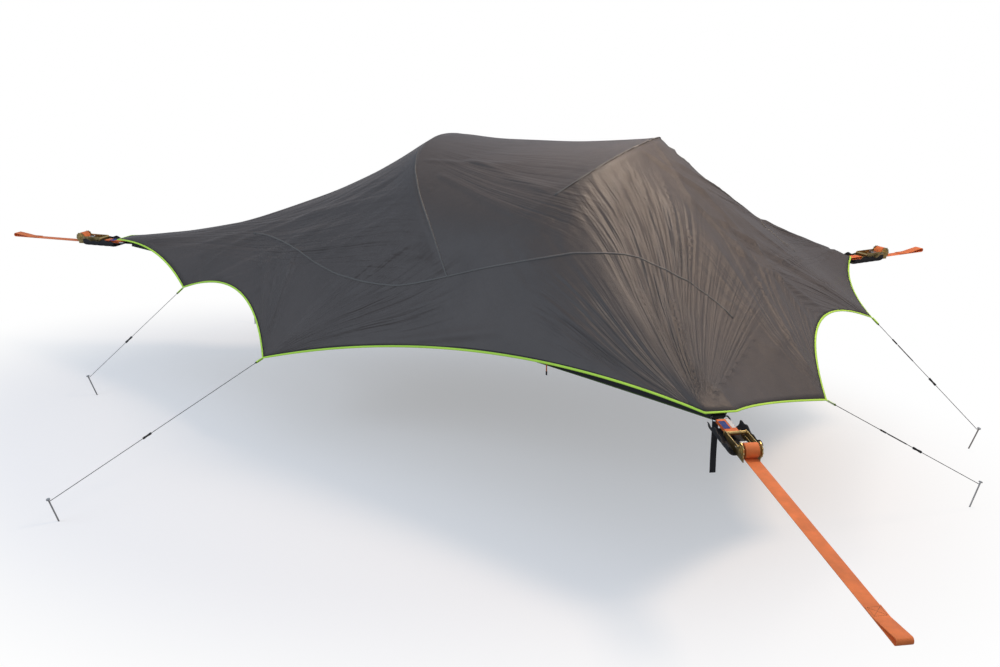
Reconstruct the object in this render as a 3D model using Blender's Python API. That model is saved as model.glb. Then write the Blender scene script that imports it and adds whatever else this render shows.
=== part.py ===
"""Tree tent: a three-point suspended tent under its flysheet, ratcheted out on webbing straps.

Metres, +Z up. The origin is the bend of the foot strap's tree loop, +X runs to the head end and
+Y to the far side. The tent frame lies inside it: its zero is the foot corner of the floor, and
its z = 0 is the plane of the floor's edge. Each ratchet has a frame of its own, with u along the
pull, w across it and n upwards.
"""

from math import acos, asin, atan2, cos, hypot, pi, radians, sin, tan

import bmesh
import bpy
import numpy as np
from mathutils import Matrix, Vector
from mathutils.bvhtree import BVHTree

# Fits
seat_gap = 0.0004
running_gap = 0.0005
cut_overrun = 0.002

# Plan: an isosceles triangle with its narrow corner at the foot
plan_length = 4.000
base_width = 2.700
strap_angle_deg = 33.5
strap_slope_deg = 2.0
strap_line_drop = 0.014
foot_reach = 0.860
near_reach = 1.450
far_reach = 0.650
ground_drop = 0.600

# Floor
floor_thickness = 0.002
floor_sag = 0.100
floor_margin = 0.100
side_bow = 0.070
base_bow = 0.040
floor_edge_depth = 0.030
floor_ring_shares = (0.80, 0.55, 0.28)

# Poles: two hoops that lean apart and cross low on each side
pole_radius = 0.0055
pole_foot_inset = 0.022
pole_foot_height = 0.014
foot_hoop_station = 2.810
foot_hoop_apex_station = 2.150
foot_hoop_apex_height = 0.748
head_hoop_station = 2.280
head_hoop_apex_station = 3.235
head_hoop_apex_height = 0.775
foot_hoop_round_share = 1.0
head_hoop_round_share = 0.75
cup_wall = 0.004
cup_depth = 0.030

# Inner canopy and its doors
canopy_thickness = 0.0015
canopy_inset = 0.085
door_station = 3.300
door_width = 0.700
door_height = 0.500
door_sill = 0.030
door_depth = 0.120
zip_gap = 0.0010
toggle_length = 0.060
toggle_width = 0.008
toggle_thickness = 0.003
toggle_place_share = 0.72
toggle_drop = 0.012

# Flysheet
fly_thickness = 0.0015
fly_over_pole = 0.0006
fly_corner_cut = 0.120
fly_corner_lift = 0.012
foot_guy_along = 0.770
foot_guy_out = 0.100
foot_guy_drop = 0.134
side_guy_along = 1.740
side_guy_out = 0.280
side_guy_drop = 0.280
head_guy_half_spacing = 0.653
head_guy_out = 0.273
head_guy_drop = 0.136
# Each hem between two fixed points is a shallow arch: how far in, and how far up, at its middle
foot_hem_in = 0.040
foot_hem_up = 0.054
foot_arch_in = 0.120
foot_arch_up = 0.139
side_hem_in = 0.080
side_hem_up = 0.124
head_hem_in = 0.050
head_hem_up = 0.001
head_arch_in = 0.150
head_arch_up = 0.148
binding_radius = 0.0035

# Webbing
web_width = 0.050
web_thickness = 0.0025
wound_core_radius = 0.0135
wound_gap = 0.0006
eye_radius = 0.010
eye_length = 0.120
eye_lap = 0.060
tail_width = 0.025
tail_length = 0.225
tail_side = 0.010
tail_back = 0.028

# Corner ring and tether
ring_wire_radius = 0.003
ring_corner_radius = 0.0075
ring_inner_station = -0.020
ring_outer_station = 0.020
ring_side_clearance = 0.0005

# Ratchet
bolt_station = 0.135
spool_station = 0.315
spool_height = 0.015
bolt_radius = 0.004
bolt_head_radius = 0.0065
bolt_head_depth = 0.0025
plate_thickness = 0.003
web_side_clearance = 0.004
wheel_thickness = 0.004
wheel_radius = 0.030
wheel_tooth_depth = 0.004
axle_radius = 0.009
axle_overhang = 0.003
frame_low_height = 0.0075
frame_boss_radius = 0.018
frame_base_length = 0.075
frame_base_drop = 0.037
handle_length = 0.152
handle_half_height = 0.009
grip_radius = 0.0065
slide_thickness = 0.003
slide_length = 0.011
slide_travel = 0.008
slide_overhang = 0.003
slide_pull_length = 0.034
slide_pull_width = 0.026
pad_half_width = 0.060
pad_rise = 0.046
pad_thickness = 0.003
pad_start = 0.036
pad_end = 0.270

# Guy lines
cord_radius = 0.0015
adjuster_radius = 0.0055
adjuster_waist_radius = 0.0042
adjuster_length = 0.046
adjuster_bore_gap = 0.0004
peg_radius = 0.0035
peg_head_radius = 0.009
peg_head_depth = 0.004
peg_length = 0.180
peg_tip_length = 0.020
peg_standing = 0.030
peg_tie_drop = 0.010
peg_lean_deg = 18.0
foot_peg_along = 0.350
foot_peg_side = 0.760
side_peg_along = 1.310
side_peg_side = 2.040
near_head_peg_along = 4.890
near_head_peg_side = 0.220
far_head_peg_along = 4.840
far_head_peg_side = 0.450
adjuster_place_share = 0.58

# Counts
floor_side_steps = 12
floor_base_steps = 4
fly_loop_steps = 16
fly_rings = 7
canopy_loop_steps = 8
canopy_rings = 4
canopy_base_steps = 5
pole_low_steps = 6
wound_turns = 4
wound_steps = 14
wheel_teeth = 11
cord_steps = 8
settle_rounds = 3
round_sides = 12

# Tension of the cloth, as shares of the radial threads' tension
foot_round_tension_share = 2.0
head_round_tension_share = 0.3
saddle_cross_tension_share = 0.3
saddle_length_tension_share = 2.0
corner_spoke_tension_share = 20.0
slack_share = 0.3

half_base = base_width / 2
side_length = hypot(plan_length, half_base)
along_side = Vector((plan_length, -half_base, 0.0)) / side_length
out_side = Vector((-half_base, -plan_length, 0.0)) / side_length
up = Vector((0.0, 0.0, 1.0))
mirror = Matrix.Diagonal((1.0, -1.0, 1.0, 1.0))
foot_half_angle = atan2(half_base, plan_length)
near_half_angle = atan2(plan_length, half_base) / 2

# Half widths across a ratchet, from the webbing outwards
web_half = web_width / 2
frame_inner = web_half + web_side_clearance
frame_outer = frame_inner + plate_thickness
wheel_inner = frame_outer + running_gap
wheel_outer = wheel_inner + wheel_thickness
handle_inner = wheel_outer + running_gap
handle_outer = handle_inner + plate_thickness
axle_half = handle_outer + axle_overhang
wound_pitch = web_thickness + wound_gap
wound_start_radius = (wound_core_radius + seat_gap + web_thickness / 2) / cos(pi / wound_steps)
wound_end_radius = wound_start_radius + wound_pitch * wound_turns
strap_line = spool_height - wound_end_radius
eye_height = strap_line + eye_radius


def material(name, colour, roughness, metallic=0.0):
    made = bpy.data.materials.new(name)
    made.use_nodes = True
    shader = made.node_tree.nodes["Principled BSDF"]
    shader.inputs["Base Color"].default_value = (*colour, 1.0)
    shader.inputs["Roughness"].default_value = roughness
    shader.inputs["Metallic"].default_value = metallic
    made.diffuse_color = (*colour, 1.0)
    return made


def empty(name, place, parent=None):
    made = bpy.data.objects.new(name, None)
    bpy.context.scene.collection.objects.link(made)
    made.parent = parent
    made.matrix_basis = place
    return made


def add_object(name, data, finish, parent=None, place=None):
    made = bpy.data.objects.new(name, data)
    bpy.context.scene.collection.objects.link(made)
    if not data.materials:
        data.materials.append(finish)
    made.parent = parent
    made.matrix_basis = place or Matrix.Identity(4)
    return made


def mesh_of(name, points, faces):
    """A mesh with its faces turned outwards."""
    body = bmesh.new()
    corners = [body.verts.new(point) for point in points]
    for face in faces:
        body.faces.new([corners[i] for i in face])
    bmesh.ops.recalc_face_normals(body, faces=body.faces)
    mesh = bpy.data.meshes.new(name)
    body.to_mesh(mesh)
    body.free()
    return mesh


def smooth(mesh, angle_deg=35.0):
    mesh.shade_smooth()
    mesh.set_sharp_from_angle(angle=radians(angle_deg))
    return mesh


def prism(name, outline, low, high):
    """An outline of (u, n) points, drawn out along w from low to high."""
    count = len(outline)
    points = [(u, low, n) for u, n in outline] + [(u, high, n) for u, n in outline]
    faces = [list(range(count)), list(range(2 * count - 1, count - 1, -1))]
    faces += [[i, (i + 1) % count, count + (i + 1) % count, count + i] for i in range(count)]
    return mesh_of(name, points, faces)


def plate(name, outline, low, high):
    """An outline of (u, w) points, drawn out along n from low to high."""
    count = len(outline)
    points = [(u, w, low) for u, w in outline] + [(u, w, high) for u, w in outline]
    faces = [list(range(count)), list(range(2 * count - 1, count - 1, -1))]
    faces += [[i, (i + 1) % count, count + (i + 1) % count, count + i] for i in range(count)]
    return mesh_of(name, points, faces)


def band(name, path, thickness, half_width, closed=False):
    """Flat webbing along a path of (u, n) points."""
    line = np.array(path, float)
    if closed:
        ahead, behind = np.roll(line, -1, axis=0), np.roll(line, 1, axis=0)
    else:
        ahead, behind = np.vstack([line[1:], line[-1:]]), np.vstack([line[:1], line[:-1]])
    first, second = line - behind, ahead - line
    first[0] = first[0] if closed else second[0]
    second[-1] = second[-1] if closed else first[-1]
    first /= np.linalg.norm(first, axis=1)[:, None]
    second /= np.linalg.norm(second, axis=1)[:, None]
    bisector = first + second
    bisector /= np.linalg.norm(bisector, axis=1)[:, None]
    across = np.stack([-bisector[:, 1], bisector[:, 0]], axis=1)
    mitre = (bisector * second).sum(axis=1)[:, None]
    left, right = line + across * thickness / 2 / mitre, line - across * thickness / 2 / mitre
    points = []
    for a, b in zip(left, right):
        for u, n in (a, b):
            points += [(u, -half_width, n), (u, half_width, n)]
    count = len(line)
    faces = []
    for i in range(count if closed else count - 1):
        here, there = 4 * i, 4 * ((i + 1) % count)
        for a, b in ((0, 1), (1, 3), (3, 2), (2, 0)):
            faces.append([here + a, here + b, there + b, there + a])
    if not closed:
        faces += [[0, 1, 3, 2], [4 * count - 4, 4 * count - 3, 4 * count - 1, 4 * count - 2]]
    return mesh_of(name, points, faces)


def turned(name, profile, sides=round_sides, bored=False):
    """A profile of (radius, height) points, turned about the local z axis."""
    points, faces = [], []
    for radius, height in profile:
        for k in range(sides):
            turn = 2 * pi * k / sides
            points.append((radius * cos(turn), radius * sin(turn), height))
    rows = len(profile)
    for row in range(rows if bored else rows - 1):
        for k in range(sides):
            low, high = row * sides, (row + 1) % rows * sides
            faces.append([low + k, low + (k + 1) % sides, high + (k + 1) % sides, high + k])
    if not bored:
        faces += [list(range(sides)), list(range((rows - 1) * sides, rows * sides))]
    return mesh_of(name, points, faces)


def tube(name, points, radius, finish, parent, resolution=2, closed=False):
    """A round rod or cord along straight runs between the points."""
    curve = bpy.data.curves.new(name, "CURVE")
    curve.dimensions = "3D"
    curve.bevel_depth = radius
    curve.bevel_resolution = resolution
    curve.use_fill_caps = not closed
    spline = curve.splines.new("POLY")
    spline.points.add(len(points) - 1)
    for spot, point in zip(spline.points, points):
        spot.co = (*point, 1.0)
    spline.use_cyclic_u = closed
    return add_object(name, curve, finish, parent)


def solid(name, base, joined=(), cut=(), shared=()):
    """The mesh of a base with others joined to it, cut from it, or met with it."""
    target = bpy.data.objects.new(name, base)
    bpy.context.scene.collection.objects.link(target)
    tools = []
    for operation, meshes in (("UNION", joined), ("DIFFERENCE", cut), ("INTERSECT", shared)):
        for mesh in meshes:
            tool = bpy.data.objects.new(name + "_tool", mesh)
            bpy.context.scene.collection.objects.link(tool)
            step = target.modifiers.new(operation.lower(), "BOOLEAN")
            step.operation = operation
            step.object = tool
            tools.append(tool)
    bpy.context.view_layer.update()
    shape = target.evaluated_get(bpy.context.evaluated_depsgraph_get())
    made = bpy.data.meshes.new_from_object(shape)
    made.name = name
    for used in (target, *tools):
        bpy.data.objects.remove(used)
    return made


def split(points, quads):
    """Each quad as two triangles that meet on its shorter diagonal."""
    triangles = []
    for a, b, c, d in quads:
        if (points[a] - points[c]).length < (points[b] - points[d]).length:
            triangles += [(a, b, c), (a, c, d)]
        else:
            triangles += [(a, b, d), (b, c, d)]
    return triangles


def shell(name, points, quads, thickness):
    """A closed sheet: the points are its outer face, and the inner one lies thickness inside."""
    body = bmesh.new()
    corners = [body.verts.new(point) for point in points]
    triangles = split(points, quads)
    for triangle in triangles:
        body.faces.new([corners[i] for i in triangle])
    bmesh.ops.recalc_face_normals(body, faces=body.faces)
    body.normal_update()
    if sum(face.normal.z * face.calc_area() for face in body.faces) < 0:
        bmesh.ops.reverse_faces(body, faces=body.faces)
    body.normal_update()
    outer = [corner.co.copy() for corner in corners]
    inner = [corner.co - corner.normal * thickness for corner in corners]
    body.verts.index_update()
    rim = [[corner.index for corner in edge.verts] for edge in body.edges if edge.is_boundary]
    body.free()
    count = len(outer)
    faces = [list(triangle) for triangle in triangles]
    faces += [[i + count for i in reversed(triangle)] for triangle in triangles]
    faces += [[a, b, b + count, a + count] for a, b in rim]
    return mesh_of(name, outer + inner, faces)


def edge_half(station):
    """Half the floor's width at a station, between its bowed long edges."""
    share = station / plan_length
    bow = side_bow * (1 - (2 * share - 1) ** 2)
    return station * tan(foot_half_angle) - bow / cos(foot_half_angle)


class Hoop:
    """A pole bent to a leaning arch. Its angle is 0 at the widest point and 90 degrees on top."""

    def __init__(self, station, apex_station, apex_height, round_share):
        self.station = station
        self.apex_station = apex_station
        self.apex_height = apex_height
        self.round_share = round_share
        self.foot_half = edge_half(station) - pole_foot_inset
        self.widest = self.foot_half

    def start(self):
        return -acos((self.foot_half / self.widest) ** (1 / self.round_share))

    def point(self, angle):
        low = sin(self.start())
        climb = (sin(angle) - low) / (1 - low)
        half = self.widest * abs(cos(angle)) ** self.round_share
        side = -half if cos(angle) > 0 else half
        along = self.station + (self.apex_station - self.station) * climb
        return Vector((along, side, pole_foot_height + (self.apex_height - pole_foot_height) * climb))

    def heading(self, angle):
        step = radians(0.01)
        return (self.point(angle + step) - self.point(angle - step)).normalized()

    def angle_at(self, climb):
        low = sin(self.start())
        return asin(climb * (1 - low) + low)


def hoop_pair():
    """The two hoops: the head hoop is as wide as lets it pass just inside the foot hoop."""
    foot = Hoop(foot_hoop_station, foot_hoop_apex_station, foot_hoop_apex_height, foot_hoop_round_share)
    head = Hoop(head_hoop_station, head_hoop_apex_station, head_hoop_apex_height, head_hoop_round_share)
    foot_rate = (foot.apex_station - foot.station) / (foot.apex_height - pole_foot_height)
    head_rate = (head.apex_station - head.station) / (head.apex_height - pole_foot_height)
    crossing = (foot.station - head.station) / (head_rate - foot_rate)
    foot_angle = foot.angle_at(crossing / (foot.apex_height - pole_foot_height))
    least, most = head.foot_half, 2 * head.foot_half
    for _ in range(60):
        head.widest = (least + most) / 2
        head_angle = head.angle_at(crossing / (head.apex_height - pole_foot_height))
        across = foot.heading(foot_angle).cross(head.heading(head_angle)).normalized()
        apart = (foot.point(foot_angle) - head.point(head_angle)).dot(across)
        if apart * -across.y > 2 * pole_radius + seat_gap:
            least = head.widest
        else:
            most = head.widest
    return foot, head, foot_angle, head_angle


foot_hoop, head_hoop, foot_cross_angle, head_cross_angle = hoop_pair()
hoop_middle = Vector(((foot_hoop.station + head_hoop.station) / 2, 0.0, 0.0))


def spaced(first, last, steps):
    return [first + (last - first) * k / steps for k in range(steps + 1)]


def pole_line(hoop, cross_angle):
    """The pole's middle line, from its near foot over the top to its far foot."""
    low = spaced(hoop.start(), cross_angle, pole_low_steps)
    high = spaced(cross_angle, pi / 2, fly_loop_steps)
    near = [hoop.point(angle) for angle in low + high[1:]]
    return near + [mirror @ point for point in reversed(near[:-1])]


def hoop_loop(steps, outside):
    """The closed line over both hoops above their crossings: apex, near, apex, far."""
    foot = [foot_hoop.point(a) for a in spaced(pi / 2, foot_cross_angle, steps)]
    head = [head_hoop.point(a) for a in spaced(head_cross_angle, pi / 2, steps)]
    near = foot + head[1:] if outside else foot[:-1] + head
    return near + [mirror @ point for point in reversed(near[1:-1])]


def laid_on(loop, points, quads, reach):
    """The loop moved off the poles so that the cloth on both sides of it clears them by a reach.

    A positive reach lays the cloth over the poles, and a negative one hangs it under them.
    """
    around = len(loop)
    sides = [[] for _ in loop]
    for quad in quads:
        a, b, c = [points[i] for i in quad[:3]]
        normal = (b - a).cross(c - a) + (c - a).cross(points[quad[3]] - a)
        normal.normalize()
        for i in quad:
            if i < around:
                sides[i].append(normal * (1 if normal.dot(loop[i] - hoop_middle) > 0 else -1))
    moved = []
    for point, normals in zip(loop, sides):
        away = sum(normals, Vector()).normalized()
        lean = min(away.dot(normal) for normal in normals) if reach > 0 else 1.0
        moved.append(point + away * reach / lean)
    return moved


def arch_hem(first, last, inwards, into, rise, steps):
    """A hem between two fixed points that draws in and up to its middle."""
    line = []
    for share in spaced(0.0, 1.0, steps):
        bow = 1 - (2 * share - 1) ** 2
        line.append(first.lerp(last, share) + (inwards * into + up * rise) * bow)
    return line


def strap_heading(turn_deg):
    return Vector((cos(radians(turn_deg)), sin(radians(turn_deg)), 0.0))


near_turn_deg = strap_angle_deg - 90.0
near_corner = Vector((plan_length, -half_base, 0.0))
near_across = strap_heading(near_turn_deg + 90.0)
foot_guy_point = along_side * foot_guy_along + out_side * foot_guy_out - up * foot_guy_drop
side_guy_point = along_side * side_guy_along + out_side * side_guy_out - up * side_guy_drop
head_guy_point = Vector((plan_length + head_guy_out, -head_guy_half_spacing, -head_guy_drop))
fly_hem_steps = (4, 6, 12, 4, 4)


def fly_hem():
    """The fly's outer edge, from the middle of its foot corner along the near side and back."""
    lift = up * fly_corner_lift
    half_cut = fly_corner_cut / 2
    foot_end = Vector((0.0, -half_cut, 0.0)) + lift
    near_first = near_corner - near_across * half_cut + lift
    near_last = near_corner + near_across * half_cut + lift
    far_guy_point = mirror @ head_guy_point
    to_foot = Vector((-1.0, 0.0, 0.0))
    steps = fly_hem_steps
    near = [lift]
    near += arch_hem(foot_end, foot_guy_point, -out_side, foot_hem_in, foot_hem_up, steps[0])
    near += arch_hem(foot_guy_point, side_guy_point, -out_side, foot_arch_in, foot_arch_up, steps[1])[1:]
    near += arch_hem(side_guy_point, near_first, -out_side, side_hem_in, side_hem_up, steps[2])[1:]
    near += arch_hem(near_last, head_guy_point, to_foot, head_hem_in, head_hem_up, steps[3])
    head = arch_hem(head_guy_point, far_guy_point, to_foot, head_arch_in, head_arch_up, 2 * steps[4])
    near += head[1 : steps[4] + 1]
    return near + [mirror @ point for point in reversed(near[1:-1])]


def corner_back(inset, half_angle):
    """How far behind a corner the drawn-in floor is as wide as the webbing."""
    return (web_half + inset / cos(half_angle)) / tan(half_angle)


def floor_edge(inset, side_steps, base_steps):
    """The floor's outline, drawn in by an inset, in the same order as the fly's."""
    line = [Vector((corner_back(inset, foot_half_angle), 0.0, 0.0))]
    heading = strap_heading(near_turn_deg)
    cut_middle = near_corner - heading * corner_back(inset, near_half_angle)
    half = web_half
    foot_end = line[0] - Vector((0.0, half, 0.0))
    line += arch_hem(foot_end, cut_middle - near_across * half, -out_side, side_bow, 0.0, side_steps)
    toward = Vector((-1.0, 0.0, 0.0))
    base_end = cut_middle + near_across * half
    base = arch_hem(base_end, mirror @ base_end, toward, base_bow, 0.0, 2 * base_steps)
    line += base[: base_steps + 1]
    return line + [mirror @ point for point in reversed(line[1:-1])]


def stretched_cloth(loop, hem, rings, spoke_steps):
    """Points and quads of cloth that is held by a loop over the hoops and by its hem.

    Inside the loop is the saddle between the hoops. Between the loop and the hem are rings.
    Each free point lies where the pulls of its threads cancel. Two strong spokes run from the
    top of the head hoop to the hem points that lie spoke_steps from its middle.
    """
    around = len(loop)
    steps = around // 4
    ring_points = [[j * around + i for i in range(around)] for j in range(rings + 1)]
    count = (rings + 1) * around

    def saddle_point(i, j):
        if j == 0:
            return i
        if i == steps:
            return steps + j
        if j == steps:
            return 3 * steps - i
        if i == 0:
            return around - j
        return count + (i - 1) * (steps - 1) + j - 1

    total = count + (steps - 1) ** 2
    place = np.zeros((total, 3))
    place[:around] = [tuple(point) for point in loop]
    place[rings * around : count] = [tuple(point) for point in hem]
    held = np.zeros(total, bool)
    held[:around] = True
    held[rings * around : count] = True
    pull = np.zeros((total, total))

    def thread(a, b, tension):
        pull[a, b] += tension
        pull[b, a] += tension

    for j in range(rings):
        for i in range(around):
            thread(ring_points[j][i], ring_points[j + 1][i], 1.0)
    for j in range(1, rings):
        for i in range(around):
            apart = min(i + 0.5, around - i - 0.5) - steps
            tension = foot_round_tension_share if apart < 0 else head_round_tension_share
            tension *= min(abs(apart) / (slack_share * steps), 1.0)
            thread(ring_points[j][i], ring_points[j][(i + 1) % around], tension)
    for i in range(steps + 1):
        for j in range(steps):
            thread(saddle_point(i, j), saddle_point(i, j + 1), saddle_cross_tension_share)
            thread(saddle_point(j, i), saddle_point(j + 1, i), saddle_cross_tension_share)
    for i in range(steps):
        for j in range(steps):
            thread(saddle_point(i, j), saddle_point(i + 1, j + 1), saddle_length_tension_share)
    for side in (-spoke_steps, spoke_steps):
        spoke = [ring_points[j][2 * steps + round(side * j / rings)] for j in range(rings + 1)]
        for a, b in zip(spoke, spoke[1:]):
            thread(a, b, corner_spoke_tension_share)
    balance = np.diag(pull.sum(axis=1)) - pull
    free = ~held
    inner = balance[np.ix_(free, free)]
    place[free] = np.linalg.solve(inner, -balance[np.ix_(free, held)] @ place[held])
    quads = []
    for j in range(rings):
        near, away = ring_points[j], ring_points[j + 1]
        for i in range(around):
            beside = (i + 1) % around
            quads.append([near[i], away[i], away[beside], near[beside]])
    for i in range(steps):
        for j in range(steps):
            corners = ((i, j), (i + 1, j), (i + 1, j + 1), (i, j + 1))
            quads.append([saddle_point(a, b) for a, b in corners])
    return [Vector(point) for point in place], quads


def rested_cloth(loop, hem, rings, spoke_steps, reach):
    """Stretched cloth whose loop settles over or under the poles in a few rounds."""
    points, quads = stretched_cloth(loop, hem, rings, spoke_steps)
    for _ in range(settle_rounds):
        settled = laid_on(loop, points, quads, reach)
        points, quads = stretched_cloth(settled, hem, rings, spoke_steps)
    return points, quads


def fly_sheet(tent):
    loop = hoop_loop(fly_loop_steps, True)
    hem = fly_hem()
    reach = pole_radius + fly_over_pole + fly_thickness
    points, quads = rested_cloth(loop, hem, fly_rings, fly_hem_steps[-1], reach)
    cloth = smooth(shell("flysheet", points, quads, fly_thickness), 60.0)
    add_object("flysheet", cloth, fly_cloth, tent)
    around = len(hem)
    inner_ring = points[(fly_rings - 1) * around : fly_rings * around]
    return hem_binding(tent, hem, inner_ring)


def hem_binding(tent, hem, inner_ring):
    """The tape sewn round the fly's edge: its middle line and its surface."""
    count = len(hem)
    line = []
    for i in range(count):
        here = hem[i]
        before = (here - hem[i - 1]).normalized()
        after = (hem[(i + 1) % count] - here).normalized()
        tangent = (before + after).normalized()
        outwards = here - inner_ring[i]
        outwards -= tangent * outwards.dot(tangent)
        outwards.normalize()
        mitre = max(tangent.dot(after), 0.5)
        line.append(here + outwards * (binding_radius + seat_gap) / mitre)
    tape = tube("fly_binding", line, binding_radius, lime_tape, tent, 2, True)
    return line, BVHTree.FromObject(tape, bpy.context.evaluated_depsgraph_get())


def canopy_and_doors(tent):
    """The mesh inner canopy under the poles, with a door cut in each long wall."""
    loop = hoop_loop(canopy_loop_steps, False)
    side_steps = 2 * canopy_loop_steps - canopy_base_steps - 2
    hem = floor_edge(canopy_inset, side_steps, canopy_base_steps)
    lifted = [point + up * (canopy_thickness + seat_gap) for point in hem]
    reach = -pole_radius - seat_gap
    points, quads = rested_cloth(loop, lifted, canopy_rings, canopy_base_steps, reach)
    whole = shell("canopy", points, quads, canopy_thickness)
    wall = door_wall(BVHTree.FromPolygons([tuple(point) for point in points], quads))
    cut, panel = door_prism(wall, zip_gap), door_prism(wall, 0.0)
    opened = solid("inner_canopy", whole, cut=[cut, mirrored(cut)])
    add_object("inner_canopy", smooth(opened, 60.0), mesh_cloth, tent)
    for name, tool, place in (
        ("door_near", panel, wall.translation),
        ("door_far", mirrored(panel), mirror @ wall.translation),
    ):
        door = solid(name, whole, shared=[tool])
        door.transform(Matrix.Translation(-place))
        add_object(name, smooth(door, 60.0), mesh_cloth, tent, Matrix.Translation(place))


def door_wall(surface):
    """A frame on the near wall: x runs to the head, y up the wall, and zero is mid-sill."""
    level = along_side * (door_station * side_length / plan_length)
    met = []
    for height in (door_sill, door_sill + door_height / 2):
        met.append(surface.ray_cast(level + up * height, -out_side)[0])
    rise = (met[1] - met[0]).normalized()
    turn = Matrix((along_side, rise, along_side.cross(rise))).transposed().to_4x4()
    return Matrix.Translation(met[0]) @ turn


def door_prism(wall, grown):
    """The door's half-round outline, drawn out through the near wall."""
    half, height = door_width / 2 + grown, door_height + grown
    sides = 2 * round_sides
    outline = [(half * cos(t), height * sin(t) - grown) for t in spaced(0.0, pi, sides)]
    points = [wall @ Vector((x, y, z)) for z in (-door_depth, door_depth) for x, y in outline]
    count = len(outline)
    faces = [list(range(count)), list(range(2 * count - 1, count - 1, -1))]
    faces += [[i, (i + 1) % count, count + (i + 1) % count, count + i] for i in range(count)]
    return mesh_of("door_prism", points, faces)


def mirrored(mesh):
    made = mesh.copy()
    made.transform(mirror)
    made.flip_normals()
    return made


def floor(tent):
    """The taut floor: a flat margin round a shallow dish, with a turned-down edge band."""
    edge = floor_edge(0.0, floor_side_steps, floor_base_steps)
    back = floor_edge(floor_thickness, floor_side_steps, floor_base_steps)
    margin = floor_edge(floor_margin, floor_side_steps, floor_base_steps)
    middle = sum(margin, Vector()) / len(margin)
    sheet = up * floor_thickness
    deep = up * floor_edge_depth
    upper, lower = [margin], [[point - sheet for point in margin]]
    for share in floor_ring_shares:
        dip = up * floor_sag * (1 - share**2)
        upper.append([middle.lerp(point, share) - dip for point in margin])
        lower.append([point - sheet for point in upper[-1]])
    rows = [*reversed(upper), edge, [point - deep for point in edge], [point - deep for point in back]]
    rows += [[point - sheet for point in back], *lower]
    count = len(edge)
    points = [point for row in rows for point in row]
    faces = []
    for row in range(len(rows) - 1):
        for i in range(count):
            near, beside = row * count + i, row * count + (i + 1) % count
            faces.append([near, beside, beside + count, near + count])
    low = middle - up * floor_sag
    points += [low, low - sheet]
    last = (len(rows) - 1) * count
    for i in range(count):
        beside = (i + 1) % count
        faces += [[i, beside, len(points) - 2], [last + i, last + beside, len(points) - 1]]
    made = mesh_of("floor", points, faces)
    add_object("floor", smooth(made, 30.0), floor_cloth, tent)


def poles_and_cups(tent):
    for name, hoop, cross_angle in (
        ("foot_hoop_pole", foot_hoop, foot_cross_angle),
        ("head_hoop_pole", head_hoop, head_cross_angle),
    ):
        line = pole_line(hoop, cross_angle)
        tube(name, line, pole_radius, pole_alloy, tent)
        for side, foot, above in (("near", line[0], line[1]), ("far", line[-1], line[-2])):
            cup_name = name.replace("pole", "cup_") + side
            add_object(cup_name, pole_cup(foot, (above - foot).normalized()), black_plastic, tent)


def pole_cup(foot, heading):
    """A cup on the floor's margin that the pole's foot stands in."""
    outer, bore = pole_radius + seat_gap + cup_wall, pole_radius + seat_gap
    below = (foot.z + outer) / heading.z
    top = cup_depth - pole_foot_height
    profile = [(outer, -below), (outer, top), (bore, top), (bore, -seat_gap)]
    made = turned("cup", profile)
    turn = heading.to_track_quat("Z", "Y").to_matrix().to_4x4()
    made.transform(Matrix.Translation(foot) @ turn)
    body = bmesh.new()
    body.from_mesh(made)
    plane = {"plane_co": up * seat_gap, "plane_no": -up}
    parts = body.verts[:] + body.edges[:] + body.faces[:]
    bmesh.ops.bisect_plane(body, geom=parts, clear_outer=True, **plane)
    bmesh.ops.holes_fill(body, edges=[edge for edge in body.edges if edge.is_boundary])
    bmesh.ops.recalc_face_normals(body, faces=body.faces)
    body.to_mesh(made)
    body.free()
    return smooth(made)


def arc(centre, radius, first_deg, last_deg, steps):
    return [
        (centre[0] + radius * cos(radians(a)), centre[1] + radius * sin(radians(a)))
        for a in spaced(first_deg, last_deg, steps)
    ]


def corner_web(back):
    """Webbing from the floor's corner round the ring's inner bar and back."""
    bend = ring_wire_radius + seat_gap + web_thickness / 2
    start = -back + seat_gap
    path = [(start, -bend)] + arc((ring_inner_station, 0.0), bend, -90.0, 90.0, 8) + [(start, bend)]
    return band("corner_web", path, web_thickness, web_half)


def tether_sling():
    """The short sling between the ring's outer bar and the ratchet's bolt."""
    outer_bend = seat_gap + web_thickness / 2 + bolt_radius
    inner_bend = seat_gap + web_thickness / 2 + ring_wire_radius
    path = arc((bolt_station, 0.0), outer_bend, -90.0, 90.0, 8)
    path += arc((ring_outer_station, 0.0), inner_bend, 90.0, 270.0, 8)
    return band("tether", path, web_thickness, web_half, True)


def ring_line():
    """The middle line of the rectangular ring, with rounded corners."""
    corner = ring_corner_radius
    half = web_half + ring_side_clearance + corner
    line = []
    for turn, u, w in ((0, ring_outer_station, half), (90, ring_inner_station, half),
                       (180, ring_inner_station, -half), (270, ring_outer_station, -half)):
        centre = (u - corner if turn in (0, 270) else u + corner, w - corner if w > 0 else w + corner)
        line += arc(centre, corner, turn, turn + 90, 3)
    return [Vector((u, w, 0.0)) for u, w in line]


def tree_strap(reach):
    """Wound on the spool, out along the pull and back on itself as the tree loop."""
    centre = (spool_station, spool_height)
    path = []
    for k in range(wound_turns * wound_steps + 1):
        radius = wound_start_radius + wound_pitch * k / wound_steps
        turn = radians(-90.0) + 2 * pi * k / wound_steps
        path.append((centre[0] + radius * cos(turn), centre[1] + radius * sin(turn)))
    print_wound_gap([Vector(point) for point in path])
    eye = (reach, eye_height)
    narrow = strap_line + web_thickness + seat_gap
    path += arc(eye, eye_radius, -90.0, 90.0, 8)
    path += [(reach - eye_length, narrow), (reach - eye_length - eye_lap, narrow)]
    return band("tree_strap", path, web_thickness, web_half)


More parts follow.
